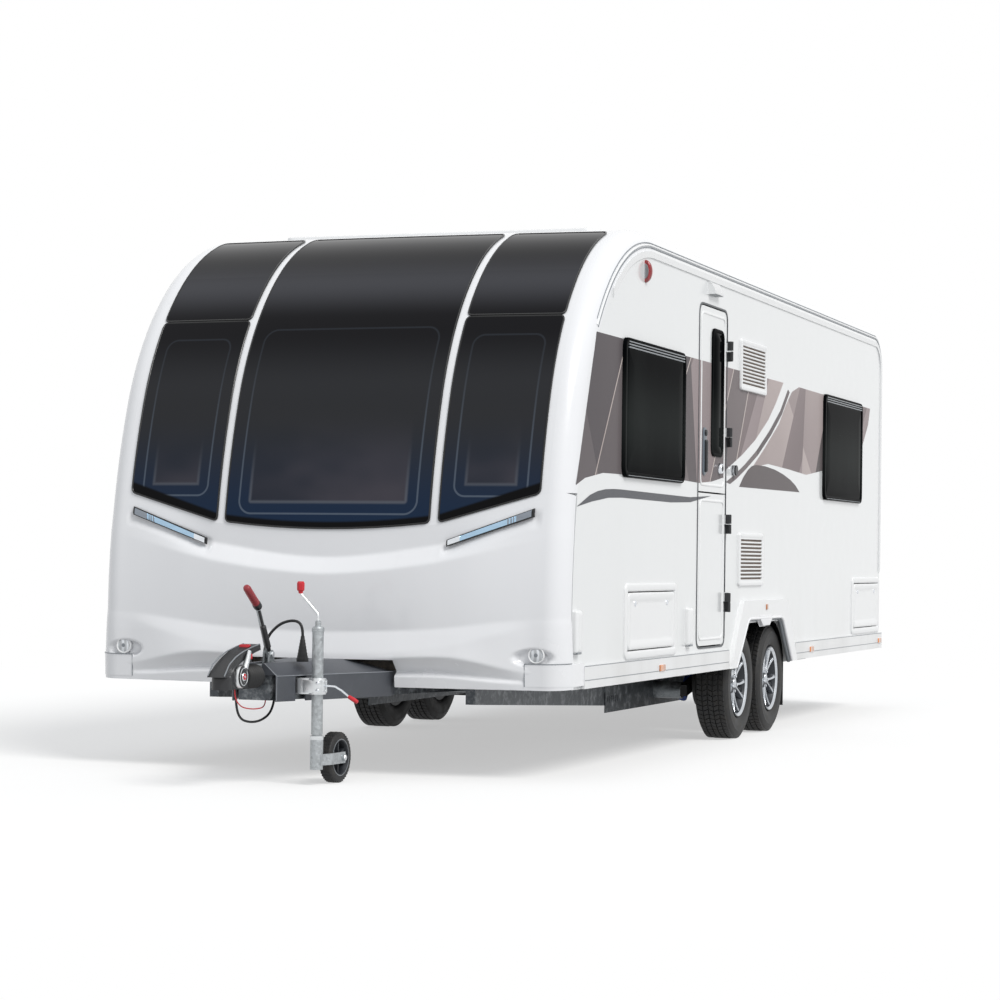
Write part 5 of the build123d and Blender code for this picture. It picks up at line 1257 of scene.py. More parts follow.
def clipped(outline, keep_left):
    """The part of an outline on the left of a line between two points."""
    (ay, az), (by, bz) = keep_left
    inside = [(by - ay) * (z - az) - (bz - az) * (y - ay) for y, z in outline]
    result = []
    for i, point in enumerate(outline):
        j = (i + 1) % len(outline)
        if inside[i] >= 0:
            result.append(point)
        if (inside[i] >= 0) != (inside[j] >= 0):
            share = inside[i] / (inside[i] - inside[j])
            result.append(tuple(a + (b - a) * share for a, b in zip(point, outline[j])))
    return result


def trimmed(outline, lines):
    """The part of an outline on the left of each line, or nothing."""
    for line in lines:
        outline = clipped(outline, line) if len(outline) > 2 else []
    return outline if len(outline) > 2 else []


def fold(outline, creases, inks):
    """A panel cut into facets along slanting creases, (y at the top, y at the bottom) each."""
    facets = []
    bounds = [(-9, -9), *creases, (9, 9)]
    for number, ((top_a, low_a), (top_b, low_b)) in enumerate(zip(bounds, bounds[1:])):
        part = trimmed(outline, [((top_a, FOLD_TOP), (low_a, FOLD_LOW)), ((low_b, FOLD_LOW), (top_b, FOLD_TOP))])
        if part:
            facets.append((part, inks[number % len(inks)]))
    return facets


def upright(y, keep_before):
    """A cutting line from the ground to above the roof that keeps what lies before it, or behind it."""
    line = (y, 0), (y, 3)
    return line if keep_before else line[::-1]


def printed_sides():
    """Each facet is cut at the door's edges; the wall and both door halves carry their own parts."""
    first_creases = [
        (-1.95, -2.52), (-2.0, -1.9), (-0.85, -1.62), (-0.9, -0.72), (-0.02, -0.62), (0.35, -0.15), (0.75, 0.1),
    ]
    first_inks = [INK_DARK, INK, INK_DARK, INK, INK_WARM, INK, INK_WARM, INK_PALE]
    second_creases = [(1.5, 0.8), (1.62, 1.5), (2.25, 1.7), (2.4, 2.5), (3.2, 2.8)]
    second_inks = [INK_PALE, INK_WARM, INK_PALE, INK_ROSE, INK_PALE, INK_WARM]
    creases = []
    for top, low in ((-1.95, -2.52), (-0.85, -1.62), (-0.02, -0.62), (0.35, -0.15)):
        strip = [
            (top - 0.006, FOLD_TOP), (low - 0.006, FOLD_LOW), (low + 0.006, FOLD_LOW), (top + 0.006, FOLD_TOP),
        ]
        creases.append((trimmed(FIRST_PANEL, zip(strip, strip[1:] + strip[:1])), INK_LIGHT))
    layers = [
        (0.0006, fold(FIRST_PANEL, first_creases, first_inks)),
        (0.0006, fold(SECOND_PANEL, second_creases, second_inks)),
        (0.0009, [(SWEEP, INK), (DOME, INK_ROSE), (STRIPE, INK_STRIPE)]),
        (0.0011, creases),
    ]
    door_sides = [upright(DOOR_PRINT[1], True), upright(DOOR_PRINT[0], False)]
    carriers = {
        ("wall_left", CARAVAN): [[upright(WALL_PRINT[0], True)], [upright(WALL_PRINT[1], False)]],
        ("door_upper", "door_upper"): [[*door_sides, ((-1, 1.303), (1, 1.303))]],
        ("door_lower", "door_lower"): [[*door_sides, ((1, 1.297), (-1, 1.297))]],
        ("wall_right", CARAVAN): [[]],
    }
    for (name, body), cuts in carriers.items():
        forms = {}
        for stand, shapes in layers:
            low, high = HALF_WIDTH + stand - INK_DEPTH, HALF_WIDTH + stand
            if name == "wall_right":
                low, high = -high, -low
            for outline, ink in shapes:
                for part in (trimmed(outline, lines) for lines in cuts):
                    if part:
                        forms.setdefault(ink, Form()).plate(part, low, high)
        for ink, form in forms.items():
            form.piece(f"print_{name}_{ink.name}", ink, body, angle=0.3)


printed_sides()


# The hitch: bright pads, indicators and bellows, and the housing behind them.
HITCH_Y, PAD = -3.56, (-3.785, 0.461)
BRAKE_PIVOT = (-3.425, 0.54)
SHAFT = (0, 0, 0.455)
PAD_SECTION = [
    (0, 0), (0.0452, 0), (0.0465, 0.004), (0.0465, 0.018), (0.043, 0.0255), (0.034, 0.0292), (0.0315, 0.027),
    (0.0175, 0.0275), (0.0155, 0.031), (0, 0.031),
]
MARK_SECTION = [(0.006, 0.0305), (0.0125, 0.0305), (0.0125, 0.0325), (0.006, 0.0325)]
HANDLE_EDGE = [
    (-3.925, 0.467), (-3.88, 0.513), (-3.82, 0.542), (-3.75, 0.562), (-3.67, 0.577), (-3.595, 0.588),
]
EAR = [(-3.452, 0.4985), (-3.398, 0.4985), (-3.404, 0.548), (-3.415, 0.558), (-3.436, 0.558), (-3.447, 0.548)]


def bolt_head(form, centre, axis, radius, height):
    profile = [(0, 0), (radius, 0), (radius, height * 0.8), (radius * 0.86, height), (0, height)]
    form.lathe(profile, centre, axis, 6)


def coupling():
    pads, marks, bolts = Form(), Form(), Form()
    for sign in (1, -1):
        foot, out = (sign * 0.03, *PAD), (sign, 0, 0)
        pads.lathe(PAD_SECTION, foot, out, 48)
        arm = [(0.054, 0.012, 0.03), (0.05, 0.05, 0.075), (0.044, 0.075, 0.1)]
        pads.tube([(sign * x, PAD[0] + y, PAD[1] + z) for x, y, z in arm], [0.014, 0.012, 0.009], 12)
        marks.lathe(hoop(MARK_SECTION), foot, out, 32)
        marks.block((sign * 0.031 - 0.008, -3.69, 0.528), (sign * 0.031 + 0.008, -3.665, 0.552), 0.003)
        bolt_head(bolts, (sign * 0.061, *PAD), out, 0.006, 0.003)
    marks.block((-0.022, -3.672, 0.566), (0.022, -3.645, 0.588), 0.004)
    pads.piece("coupling_pads", WHITE_METAL)
    marks.piece("coupling_indicators", RED)
    bolts.piece("coupling_bolts", CHROME)
    # Grey rods along the top edges of the black coupling handle: painted highlight.
    edges = Form().tube([(0.0365, y, z) for y, z in HANDLE_EDGE], 0.0028, 8)
    edges.mirrored().piece("coupling_handle_highlights", GREY, angle=ROUND)


def bellows():
    start, end = -3.694, HITCH_Y + 0.002
    folds = [(0, start)]
    for number in range(7):
        y = start + number * 0.0195
        folds += [(0.037, y), (0.0475, y + 0.004), (0.0505, y + 0.0085), (0.0475, y + 0.013)]
    folds += [(0.037, end), (0, end)]
    Form().lathe(folds, SHAFT, Y_AXIS, 40).piece("bellows", RUBBER, replaces=["overrun_device"], angle=1.0)
    clips = Form()
    for y in (-3.687, -3.567):
        section = [(0.036, y - 0.004), (0.0405, y - 0.004), (0.0405, y + 0.004), (0.036, y + 0.004)]
        clips.lathe(hoop(section), SHAFT, Y_AXIS, 40)
    clips.piece("bellows_clips", WHITE_METAL)


def overrun_housing():
    housing, nuts = Form().block((-0.032, HITCH_Y, 0.4602), (0.032, -3.33, 0.5), 0.006), Form()
    for sign in (1, -1):
        housing.plate(EAR, sign * 0.012 - 0.0038, sign * 0.012 + 0.0038, bevel=0.0012)
        bolt_head(nuts, (sign * 0.016, *BRAKE_PIVOT), (sign, 0, 0), 0.0135, 0.007)
    pin = [(0, -0.022), (0.0088, -0.022), (0.0088, 0.022), (0, 0.022)]
    housing.lathe(pin, (0, *BRAKE_PIVOT), X_AXIS, 24)
    housing.piece("overrun_housing", GALVANISED)
    nuts.piece("pivot_nuts", WHITE_METAL)


coupling()
bellows()
overrun_housing()


def handbrake():
    way = Vector((0, -0.116, 0.205)).normalized()
    side = Vector((0, way.z, -way.y))
    pivot = Vector((0, *BRAKE_PIVOT))
    section = [(-0.0065, -1), (0.0065, -1), (0.007, 0), (0.0065, 1), (-0.0065, 1), (-0.007, 0)]
    blade = Form()
    made = blade.grid([
        [pivot + way * up + Vector((x, 0, 0)) + side * half * k for x, k in section]
        for up, half in ((-0.02, 0.011), (0.0, 0.0155), (0.05, 0.013), (0.19, 0.0095), (0.236, 0.009))
    ], closed_v=True)
    blade.cap_ends(made)
    blade.tube([pivot + way * 0.2, (0, -3.541, 0.745), (0, -3.575, 0.769)], 0.0095, 12)
    blade.piece("handbrake_blade", ZINC, "handbrake", ["handbrake_lever"])
    knee, tip = Vector((0, -3.535, 0.7405)), Vector((0, -3.654, 0.824))
    reach = (tip - knee).length
    profile = [(0, 0.0), (0.0115, 0.0), (0.0142, 0.004)]
    for number in range(7):
        z = 0.016 + number * 0.0145
        profile += [(0.0155, z), (0.0166, z + 0.003), (0.0166, z + 0.0085), (0.0155, z + 0.0115)]
    profile += [(0.0162, reach - 0.014), (0.0135, reach - 0.003), (0.0075, reach), (0, reach)]
    grip = Form().lathe(profile, knee, tip - knee, 28)
    grip.piece("handbrake_grip", DULL_RED, "handbrake", angle=BROAD)
    section = [(0, -0.004), (0.0165, -0.004), (0.0185, 0.004), (0.0185, 0.02), (0.0165, 0.026), (0, 0.026)]
    collar = Form().lathe(section, knee, tip - knee, 28)
    collar.piece("handbrake_collar", CAST_BLACK, "handbrake")
    low, high = Vector((0.019, -3.462, 0.556)), Vector((0.019, -3.564, 0.722))
    radii = [0.008, 0.0095, 0.0125, 0.0125, 0.0065, 0.0065]
    strut = Form().tube([low.lerp(high, share) for share in (0, 0.08, 0.1, 0.62, 0.64, 1)], radii, 14)
    strut.piece("handbrake_spring_strut", CAST_BLACK, "handbrake")


handbrake()


# Leads, on the routes of the CAD solids.
def lead(name, route, radius, finish):
    curve = bpy.data.curves.new(name, "CURVE")
    curve.dimensions = "3D"
    curve.bevel_depth = radius
    curve.bevel_resolution = 5
    curve.resolution_u = 16
    curve.use_fill_caps = True
    spline = curve.splines.new("NURBS")
    spline.points.add(len(route) - 1)
    for point, place in zip(spline.points, route):
        point.co = (*place, 1.0)
    spline.order_u = 3
    spline.use_endpoint_u = True
    curve.materials.append(finish)
    settle(name, curve, CARAVAN, "rubber", ["hitch_leads"])


PLUG_Y = -3.345
PLUG_ROUTE = [(-0.058, 0.5083), (-0.058, 0.59), (0.003, 0.664), (0.078, 0.686), (0.119, 0.664), (0.119, 0.6183)]
LOOP_ROUTE = [
    (-3.74, 0.4097), (-3.74, 0.345), (-3.7, 0.284), (-3.6, 0.264), (-3.49, 0.266), (-3.39, 0.296), (-3.352, 0.372),
    (-3.352, 0.4597),
]
CABLE_ROUTE = [
    (-3.8, 0.4097), (-3.8, 0.374), (-3.745, 0.338), (-3.68, 0.326), (-3.6, 0.32), (-3.504, 0.324), (-3.504, 0.3547),
]
GLAND = [(0, 0.5085), (0.0135, 0.5085), (0.0135, 0.513), (0.0095, 0.521), (0, 0.521)]


def leads():
    lead("plug_lead", [(x, PLUG_Y, z) for x, z in PLUG_ROUTE], 0.006, RUBBER)
    lead("hanging_loop", [(0.0, y, z) for y, z in LOOP_ROUTE], 0.005, RUBBER)
    lead("breakaway_cable", [(0.024, y, z) for y, z in CABLE_ROUTE], 0.0025, RED)
    plug = [(0, 0.5095), (0.0245, 0.5095), (0.0255, 0.512), (0.0255, 0.524), (0.0225, 0.528), (0.0225, 0.532)]
    for number in range(5):
        z = 0.538 + number * 0.0135
        wide = 0.0205 - number * 0.0023
        plug += [(wide, z), (wide, z + 0.008), (wide - 0.0018, z + 0.0105)]
    plug += [(0.0085, 0.612), (0.0075, 0.618), (0, 0.618)]
    plug_form = Form().lathe(plug, (0.119, PLUG_Y, 0), Z_AXIS, 32)
    plug_form.piece("lead_plug_body", RUBBER, replaces=["lead_plug"], angle=BROAD)
    Form().lathe(GLAND, (-0.058, PLUG_Y, 0), Z_AXIS, 24).piece("lead_gland", RUBBER)


# Light grey rods along the fairing's front corners and top edges: painted highlight where the edges catch the light.
def fairing_edge_highlights():
    edges = Form()
    corner = (0.1, HITCH_Y, 0.456)
    for ends in (
        [(0.1, HITCH_Y, 0.352), corner], [corner, (0.044, HITCH_Y, 0.507)], [corner, (0.335, -2.864, 0.456)],
    ):
        edges.tube(ends, 0.0016, 6)
    edges.mirrored().piece("fairing_edge_highlights", FAIRING_HIGHLIGHT, angle=ROUND)


leads()
fairing_edge_highlights()


# The jockey wheel.
JOCKEY_X, JOCKEY_Y = 0.222, -3.42
JOCKEY_FOOT = (JOCKEY_X, JOCKEY_Y, 0)
JOCKEY_HUB = (0.006, 0.16, 0.1075)  # in the fork's own frame
FORK_TURN = Matrix.Translation(JOCKEY_FOOT) @ Matrix.Rotation(math.radians(-3), 4, "Z")
OUTER_TUBE = [
    (0, 0.63), (0.0215, 0.63), (0.0215, 0.212), (0.024, 0.212), (0.024, 0.638), (0.0262, 0.64), (0.0262, 0.653),
    (0.021, 0.66), (0.0125, 0.662), (0.0125, 0.682), (0.0085, 0.686), (0, 0.686),
]
CRANK_ROUTE = [
    (0, 0.68), (0, 0.704), (0.003, 0.714), (0.011, 0.724), (0.071, 0.786), (0.079, 0.795), (0.081, 0.806),
]
KNOB = [
    (0, 0.797), (0.009, 0.797), (0.0105, 0.806), (0.0165, 0.811), (0.0172, 0.84), (0.013, 0.8475), (0, 0.848),
]
CLAMP_RING = [
    (0.0243, 0.379), (0.036, 0.379), (0.037, 0.382), (0.037, 0.39), (0.0335, 0.393), (0.0335, 0.432), (0.037, 0.435),
    (0.037, 0.443), (0.036, 0.446), (0.0243, 0.446),
]
CLAMP_ROD = [(0.03, 0.416), (0.08, 0.413), (0.11, 0.397), (0.142, 0.373), (0.15, 0.368)]
FORK_COLLAR = [(0.0212, 0.2055), (0.0285, 0.2055), (0.0285, 0.192), (0.0275, 0.19), (0.0212, 0.19)]
JOCKEY_SHOULDER = [(0.074, -0.0275), (0.088, -0.028), (0.0985, -0.0262), (0.1035, -0.0222)]
JOCKEY_INSIDE = [(0.072, 0.024), (0.07, 0.01), (0.07, -0.01), (0.072, -0.024)]
JOCKEY_RIM = [
    (0.0705, -0.0262), (0.0755, -0.0275), (0.0765, -0.0255), (0.0715, -0.022), (0.0665, -0.008), (0.0665, 0.008),
    (0.0715, 0.022), (0.0765, 0.0255), (0.0755, 0.0275), (0.0705, 0.0262), (0.063, 0.008), (0.063, -0.008),
]
JOCKEY_BOSS = [
    (0.0085, -0.027), (0.0195, -0.027), (0.0225, -0.022), (0.0225, 0.022), (0.0195, 0.027), (0.0085, 0.027),
]
RIM_EDGE = [(0.0748, 0.0272), (0.0775, 0.0272), (0.0775, 0.0288), (0.0748, 0.0288)]
TREAD_BARS = 40


def jockey_post():
    x, y = JOCKEY_X, JOCKEY_Y
    tube = Form().lathe(OUTER_TUBE, JOCKEY_FOOT, Z_AXIS, 40)
    tube.piece("jockey_outer_tube", ZINC, replaces=["jockey_tube"])
    crank = Form().tube([(x - reach, y, z) for reach, z in CRANK_ROUTE], 0.0062, 14)
    crank.piece("jockey_crank", WHITE_METAL, slot="galvanised", angle=ROUND)
    Form().lathe(KNOB, (x - 0.081, y, 0), Z_AXIS, 8).piece("jockey_knob", RED, angle=0.4)
    clamp = Form().lathe(hoop(CLAMP_RING), JOCKEY_FOOT, Z_AXIS, 40)
    clamp.block((0.133, y - 0.024, 0.379), (0.196, y + 0.024, 0.446), 0.004)
    for sign in (1, -1):
        clamp.block((0.17, y + sign * 0.03 - 0.006, 0.384), (0.252, y + sign * 0.03 + 0.006, 0.44), 0.003)
    clamp.piece("jockey_clamp_body", WHITE_METAL, replaces=["jockey_clamp"], slot="galvanised")
    screw = Form()
    for z in (0.397, 0.428):
        bolt_head(screw, (0.238, y - 0.036, z), (0, -1, 0), 0.007, 0.005)
    screw.tube([(x + reach, y, z) for reach, z in CLAMP_ROD], 0.0045, 12)
    screw.piece("jockey_clamp_screw", CHROME, angle=1.0)
    start, end = Vector((x + 0.14, y, 0.3735)), Vector((x + 0.183, y, 0.35))
    reach = (end - start).length
    taper = [(0, 0), (0.006, 0), (0.0085, 0.006), (0.0092, reach * 0.6), (0.0085, reach - 0.003)]
    grip = Form().lathe(taper + [(0.004, reach), (0, reach)], start, end - start, 20)
    grip.piece("jockey_clamp_grip", RED)


def jockey_wheel():
    collar = Form().lathe(hoop(FORK_COLLAR), (0, 0, 0), Z_AXIS, 36)
    bolt_head(collar, (0.049, *JOCKEY_HUB[1:]), X_AXIS, 0.0125, 0.009)
    collar.moved(FORK_TURN).piece("jockey_fork_fittings", WHITE_METAL, "jockey_fork", slot="galvanised")
    profile = list(JOCKEY_SHOULDER)
    for number in range(5):
        a = -0.0205 + number * 0.0086
        top = 0.1073 - 0.0006 * abs(number - 2)
        profile += [(0.1045, a), (top, a + 0.0012), (top, a + 0.0056), (0.1045, a + 0.0068)]
    profile += [(r, -a) for r, a in JOCKEY_SHOULDER[::-1]] + JOCKEY_INSIDE
    tyre = Form().lathe(hoop(profile), JOCKEY_HUB, X_AXIS, 72).moved(FORK_TURN)
    tyre.piece("jockey_tyre", TYRE, "jockey_wheel", ["jockey_wheel"], angle=0.7)
    bar = Form().block((-0.023, -0.0028, 0.1035), (0.023, 0.0028, 0.1068), 0.0008)
    hub_place = FORK_TURN @ Matrix.Translation(JOCKEY_HUB)
    bars = repeated(bar.data("tread_bar", TYRE), TYRE, TREAD_BARS, (2 * math.pi / TREAD_BARS, 0, 0), hub_place)
    settle("jockey_tread_bars", bars, "jockey_wheel", "tyre")
    rim = Form().lathe(hoop(JOCKEY_RIM), JOCKEY_HUB, X_AXIS, 60)
    rim.lathe(hoop(JOCKEY_BOSS), JOCKEY_HUB, X_AXIS, 36)
    for number in range(6):
        spoke = Form().block((-0.016, -0.005, 0.019), (0.016, 0.005, 0.068), 0.002)
        spoke.moved(Matrix.Translation(JOCKEY_HUB) @ Matrix.Rotation(math.pi * number / 3, 4, "X"))
        rim.mesh.from_mesh(spoke.data("spoke", POCKET))
    rim.moved(FORK_TURN).piece("jockey_rim", POCKET, "jockey_wheel")
    edges = Form()
    for sign in (1, -1):
        edges.lathe(hoop(RIM_EDGE), JOCKEY_HUB, (sign, 0, 0), 60)
    edges.moved(FORK_TURN).piece("jockey_rim_edges", GREY, "jockey_wheel")


jockey_post()
jockey_wheel()


# Roof locker lid, rear bumper with its blank plate, and the rear lamp clusters.
LID = (-0.798, 0.798, -1.558, -0.682)
LID_SECTION = [  # the inset, the share of the lid's height and what is added to it
    (0.022, 1.0, -0.014), (0.022, 0, 0.0005), (0, 0, 0.0005), (0, 0.7, 0), (0.003, 0.9, 0), (0.012, 1.0, 0),
    (0.05, 1.0, 0), (0.054, 1.0, 0.0025),
]
BUMPER_SECTION = [(0, 0), (0, 0.014), (0.004, 0.0195), (0.012, 0.0208), (0.03, 0.0208), (0.036, 0.0165)]
CLUSTER_SECTION = [(0, 0), (0, 0.009), (0.003, 0.0125), (0.01, 0.013)]
LENS_SECTION = [(0, 0.012), (0, 0.0165), (0.003, 0.0195), (0.012, 0.021)]
PLATE_SECTION = [(0, 0.0165), (0, 0.0225), (0.0015, 0.024)]
LID_FOOT, LID_FRONT_HEIGHT, LID_RISE = 2.513, 0.02, 0.058


def lid():
    form, rows = Form(), []
    for by, share, extra in LID_SECTION:
        rows.append([])
        for spot in rounded_outline(corners_of(inset(LID, by)), max(0.05 - by, 0.008)):
            height = LID_FRONT_HEIGHT + LID_RISE * (spot.y - LID[2]) / (LID[3] - LID[2])
            rows[-1].append((spot.x, spot.y, LID_FOOT + extra + share * height))
    form.cap_ends(form.grid(rows, closed_v=True))
    form.piece("roof_locker_lid", TRIM, "roof_lid", ["roof_lid"], angle=BROAD)


def rear_end():
    bumper = Form().moulding("rear", (-1.006, 1.006, 0.397, 0.638), 0.03, BUMPER_SECTION)
    bumper.piece("rear_bumper_moulding", FRONT, replaces=["rear_bumper"], slot="trim_white", angle=BROAD)
    plate = Form().moulding("rear", (-0.26, 0.26, 0.5, 0.62), 0.008, PLATE_SECTION)
    plate.piece("blank_plate", WALL_WHITE)
    base = Form().moulding("rear", (0.862, 1.008, 0.662, 1.008), 0.032, CLUSTER_SECTION)
    base.mirrored().piece("rear_lamp_bases", DARK, replaces=["rear_lamps"])
    for name, finish, heights in (
        ("red", RED_LENS, [(0.872, 0.994), (0.676, 0.708)]),
        ("amber", AMBER, [(0.778, 0.864)]),
        ("clear", CLEAR, [(0.716, 0.77)]),
    ):
        form = Form()
        for low, high in heights:
            form.moulding("rear", (0.876, 0.994, low, high), 0.014, LENS_SECTION)
        form.mirrored().piece("rear_lamp_" + name, finish)
    grips = Form().block((-0.28, 3.9052, 1.083), (0.28, 3.9205, 1.101), 0.004)
    for x in (-0.24, 0.24):
        grips.block((x - 0.02, 3.9052, 1.07), (x + 0.02, 3.924, 1.114), 0.005)
    grips.piece("rear_grab_rail", TRIM)


lid()
rear_end()


# Tyres with a ribbed, blocked tread, and five-spoke rims.
WHEEL_X, WHEEL_R = 0.99, 0.298
AXLE_PLACES = {"front": 0.275, "rear": 0.965}
HUB = (0, 0, 0), Z_AXIS  # a wheel is made lying flat on the origin
TYRE_SECTION = [
    (0.182, 0.071), (0.188, 0.079), (0.2, 0.0855), (0.22, 0.0905), (0.24, 0.0922), (0.256, 0.0905),
    (0.2595, 0.0915), (0.263, 0.0895), (0.274, 0.0855), (0.284, 0.079), (0.2895, 0.0715), (0.2905, 0.066),
]
TREAD_RIBS = [(-0.073, -0.047), (-0.041, -0.0165), (-0.0115, 0.0115), (0.0165, 0.041), (0.047, 0.073)]
TREAD_BLOCKS, BLOCK_HALF = 66, 0.0126
RIM_BARREL = [
    (0.15, -0.075), (0.165, -0.078), (0.1795, -0.0775), (0.1817, -0.0715), (0.1705, -0.0665), (0.158, -0.05),
    (0.15, -0.01), (0.153, 0.035), (0.1655, 0.0655), (0.1705, 0.072), (0.1795, 0.0795), (0.1817, 0.0765),
    (0.181, 0.0805), (0.178, 0.083), (0.1725, 0.0815), (0.1645, 0.0715), (0.1585, 0.055), (0.148, 0.03),
    (0.144, -0.01), (0.15, -0.05),
]
RIM_BACK = [(0, 0.006), (0.148, 0.006), (0.148, 0.0), (0, 0.0)]
RIM_LIP = [(0.163, 0.0735), (0.1665, 0.0775), (0.1725, 0.0828), (0.1765, 0.0838), (0.1772, 0.0815), (0.17, 0.0725)]
HUB_SECTION = [(0.0, 0.056), (0.03, 0.056), (0.052, 0.0545), (0.056, 0.05), (0.057, 0.01), (0.0, 0.01)]
HUB_CAP = [(0.0, 0.0645), (0.016, 0.064), (0.0255, 0.061), (0.0275, 0.056), (0.0, 0.056)]
WHEEL_BOLT = [(0, 0.063), (0.0055, 0.063), (0.008, 0.061), (0.0085, 0.05), (0, 0.05)]
SPOKES = 5
SPOKE_SECTION = [(-1.15, 0.03), (-1, 0.004), (-0.75, 0), (0.75, 0.002), (1, 0.007), (1.15, 0.03)]


def tyre_mesh():
    profile = TYRE_SECTION + [(r, -a) for r, a in TYRE_SECTION[::-1]]
    meshes = [Form().lathe(hoop(profile), *HUB, 96).data("tyre_body", TYRE)]
    for number, (low, high) in enumerate(TREAD_RIBS):
        blank = Form()
        deep, top = (0.288, 0.2965) if number in (0, 4) else (0.2885, 0.298)
        skew = 0.005 if number % 2 else -0.005
        near, far = BLOCK_HALF + skew, BLOCK_HALF - skew
        corners = [(-far, low), (near, low), (far, high), (-near, high)]
        bottom, tread = ([blank.mesh.verts.new((r, y, z)) for y, z in corners] for r in (deep, top))
        for i in range(4):
            j = (i + 1) % 4
            blank.mesh.faces.new([bottom[i], bottom[j], tread[j], tread[i]])
        top_face = blank.mesh.faces.new(tread)
        blank.mesh.faces.new(bottom)
        bmesh.ops.bevel(blank.mesh, geom=list(top_face.edges), offset=0.0012, segments=1, affect="EDGES")
        block = blank.data("tread_block", TYRE)
        meshes.append(repeated(block, TYRE, TREAD_BLOCKS, (0, 0, 2 * math.pi / TREAD_BLOCKS)))
    return joined("tyre", meshes)


def spoke(form, turn, skew, top, width):
    """One blade from the hub to the rim: a curved ridge with sloping flanks."""
    rows = []
    for share in np.linspace(0, 1, 12):
        height = top + 0.018 * share**1.6
        bend = turn + skew * share**1.4
        wide = width * (1 - 0.38 * math.sin(math.pi * min(1.0, share * 1.1)))
        middle = Vector((math.cos(bend), math.sin(bend), 0)) * (0.034 + 0.136 * share)
        side = Vector((-math.sin(bend), math.cos(bend), 0)) * wide
        rows.append([middle + side * across + Vector((0, 0, height - drop)) for across, drop in SPOKE_SECTION])
    form.close(form.grid(rows))


def rim_mesh():
    dark = Form().lathe(hoop(RIM_BARREL), *HUB, 72).lathe(RIM_BACK, *HUB, 48)
    faces = Form().lathe(hoop(RIM_LIP), *HUB, 72)
    for number in range(SPOKES):
        turn = 2 * math.pi * number / SPOKES
        spoke(faces, turn - 0.16, -0.07, 0.056, 0.0105)
        spoke(faces, turn + 0.16, 0.2, 0.056, 0.0105)
        spoke(dark, turn, 0.06, 0.044, 0.014)
    dark.lathe(HUB_SECTION, *HUB, 40)
    faces.lathe(HUB_CAP, *HUB, 36)
    bolt = Form().lathe(WHEEL_BOLT, (0.043, 0, 0), Z_AXIS, 6)
    bolts = repeated(bolt.data("bolt", CHROME), CHROME, SPOKES, (0, 0, 2 * math.pi / SPOKES))
    return joined("rim", [dark.data("rim_dark", POCKET), faces.data("rim_face", FACE_ALLOY), bolts])


def wheels():
    tyre, rim = tyre_mesh(), rim_mesh()
    for end, y in AXLE_PLACES.items():
        for side, sign in (("left", 1), ("right", -1)):
            turn = Matrix.Rotation(math.radians(90 * sign), 4, "Y")
            place = Matrix.Translation((sign * WHEEL_X, y, WHEEL_R)) @ turn
            for kind, blank, slot in (("tyre", tyre, "tyre"), ("rim", rim, "alloy")):
                mesh, node = blank.copy(), f"{kind}_{end}_{side}"
                mesh.transform(place)
                settle(node + "_detail", mesh, f"wheel_{end}_{side}", slot, [node])


wheels()


# The camera stands where the photograph was taken from.
CAMERA_PLACE = (4.6164, -13.4604, 0.9530)
CAMERA_TURN = (19.52, 0.31, 0.68)  # yaw, pitch and roll in degrees
FOCAL_LENGTH, CENTRE_X, CENTRE_Y, PICTURE = 2627.0, 508.3, 544.3, 1000.0  # in pixels


def aim_camera():
    yaw, pitch, roll = (math.radians(angle) for angle in CAMERA_TURN)
    look = Vector((-math.sin(yaw) * math.cos(pitch), math.cos(yaw) * math.cos(pitch), math.sin(pitch)))
    right = look.cross(Vector(Z_AXIS)).normalized()
    up = right.cross(look)
    right, up = right * math.cos(roll) + up * math.sin(roll), up * math.cos(roll) - right * math.sin(roll)
    data = bpy.data.cameras.new("camera")
    data.sensor_width = 36.0
    data.lens = FOCAL_LENGTH * data.sensor_width / PICTURE
    data.shift_x = (PICTURE / 2 - CENTRE_X) / PICTURE
    data.shift_y = (CENTRE_Y - PICTURE / 2) / PICTURE
    data.clip_end = 200.0
    camera = bpy.data.objects.new("camera", data)
    scene.collection.objects.link(camera)
    camera.matrix_world = Matrix.Translation(CAMERA_PLACE) @ Matrix((right, up, -look)).transposed().to_4x4()
    scene.camera = camera


aim_camera()


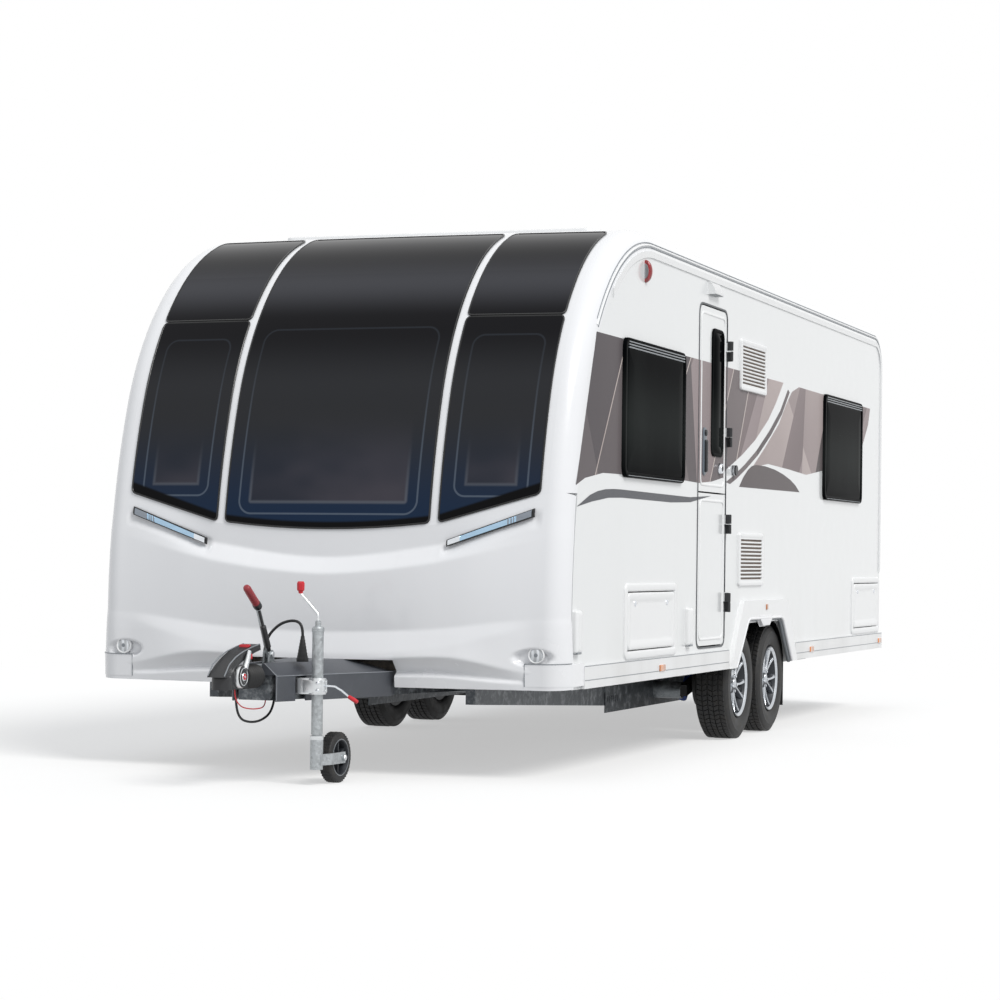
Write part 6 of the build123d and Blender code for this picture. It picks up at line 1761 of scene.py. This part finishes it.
# Floor, light and background.
def studio_floor():
    """A floor that takes the caravan's shadow and fades to white further out."""
    mesh = bpy.data.meshes.new("floor")
    reach = 60.0
    corners = [(x * reach, y * reach, 0) for x, y in ((-1, -1), (1, -1), (1, 1), (-1, 1))]
    mesh.from_pydata(corners, [], [(0, 1, 2, 3)])
    floor = bpy.data.objects.new("floor", mesh)
    scene.collection.objects.link(floor)
    finish = Finish("pale_floor")
    seen = finish.add("ShaderNodeLightPath", {}, {}, "Is Camera Ray")
    rays = seen.socket.node.outputs
    mirrored, passed = Signal(finish, rays["Is Glossy Ray"]), Signal(finish, rays["Is Transmission Ray"])
    far = ((finish.x**2.0 + finish.y**2.0) ** 0.5).past(4.5, 9.0)
    shown = seen.most(mirrored).most(passed) * (far * 0.5 + 0.5)
    grey = finish.add("ShaderNodeBsdfDiffuse", {}, {"Color": (0.5, 0.5, 0.5, 1)})
    white = finish.add("ShaderNodeEmission", {}, {"Color": (1, 1, 1, 1), "Strength": 1.0})
    pale = finish.add("ShaderNodeBsdfDiffuse", {}, {"Color": (0.95, 0.95, 0.95, 1)})
    pale_mix = finish.add("ShaderNodeMixShader", {}, {0: seen.most(mirrored), 1: grey, 2: pale})
    mix = finish.add("ShaderNodeMixShader", {}, {0: shown, 1: pale_mix, 2: white})
    mesh.materials.append(finish.shown_by(mix))


def studio_light():
    """Soft light from all round, a white background for the camera, and one soft key light."""
    world = bpy.data.worlds.new("studio")
    world.use_nodes = True
    tree = world.node_tree
    tree.nodes.clear()
    add, link = tree.nodes.new, tree.links.new
    path, either, any_of = add("ShaderNodeLightPath"), add("ShaderNodeMath"), add("ShaderNodeMath")
    either.operation = any_of.operation = "MAXIMUM"
    lit, white = add("ShaderNodeBackground"), add("ShaderNodeBackground")
    for node, color, strength in ((lit, (0.94, 0.97, 1.0, 1.0), 0.6), (white, (1, 1, 1, 1), 1.0)):
        node.inputs["Color"].default_value = color
        node.inputs["Strength"].default_value = strength
    mixer, output = add("ShaderNodeMixShader"), add("ShaderNodeOutputWorld")
    for source, target in (
        (path.outputs["Is Camera Ray"], either.inputs[0]),
        (path.outputs["Is Glossy Ray"], either.inputs[1]),
        (either.outputs[0], any_of.inputs[0]),
        (path.outputs["Is Transmission Ray"], any_of.inputs[1]),
        (any_of.outputs[0], mixer.inputs[0]),
        (lit.outputs[0], mixer.inputs[1]),
        (white.outputs[0], mixer.inputs[2]),
        (mixer.outputs[0], output.inputs[0]),
    ):
        link(source, target)
    scene.world = world

    key = bpy.data.lights.new("key_light", "SUN")
    key.energy = 2.2
    key.angle = math.radians(25)
    key.color = (1.0, 0.985, 0.96)
    lamp = bpy.data.objects.new("key_light", key)
    scene.collection.objects.link(lamp)
    lamp.rotation_mode = "QUATERNION"
    lamp.rotation_quaternion = Vector((0.60, -0.34, 0.72)).to_track_quat("Z", "Y")


studio_floor()
studio_light()
scene.view_settings.view_transform = "Standard"
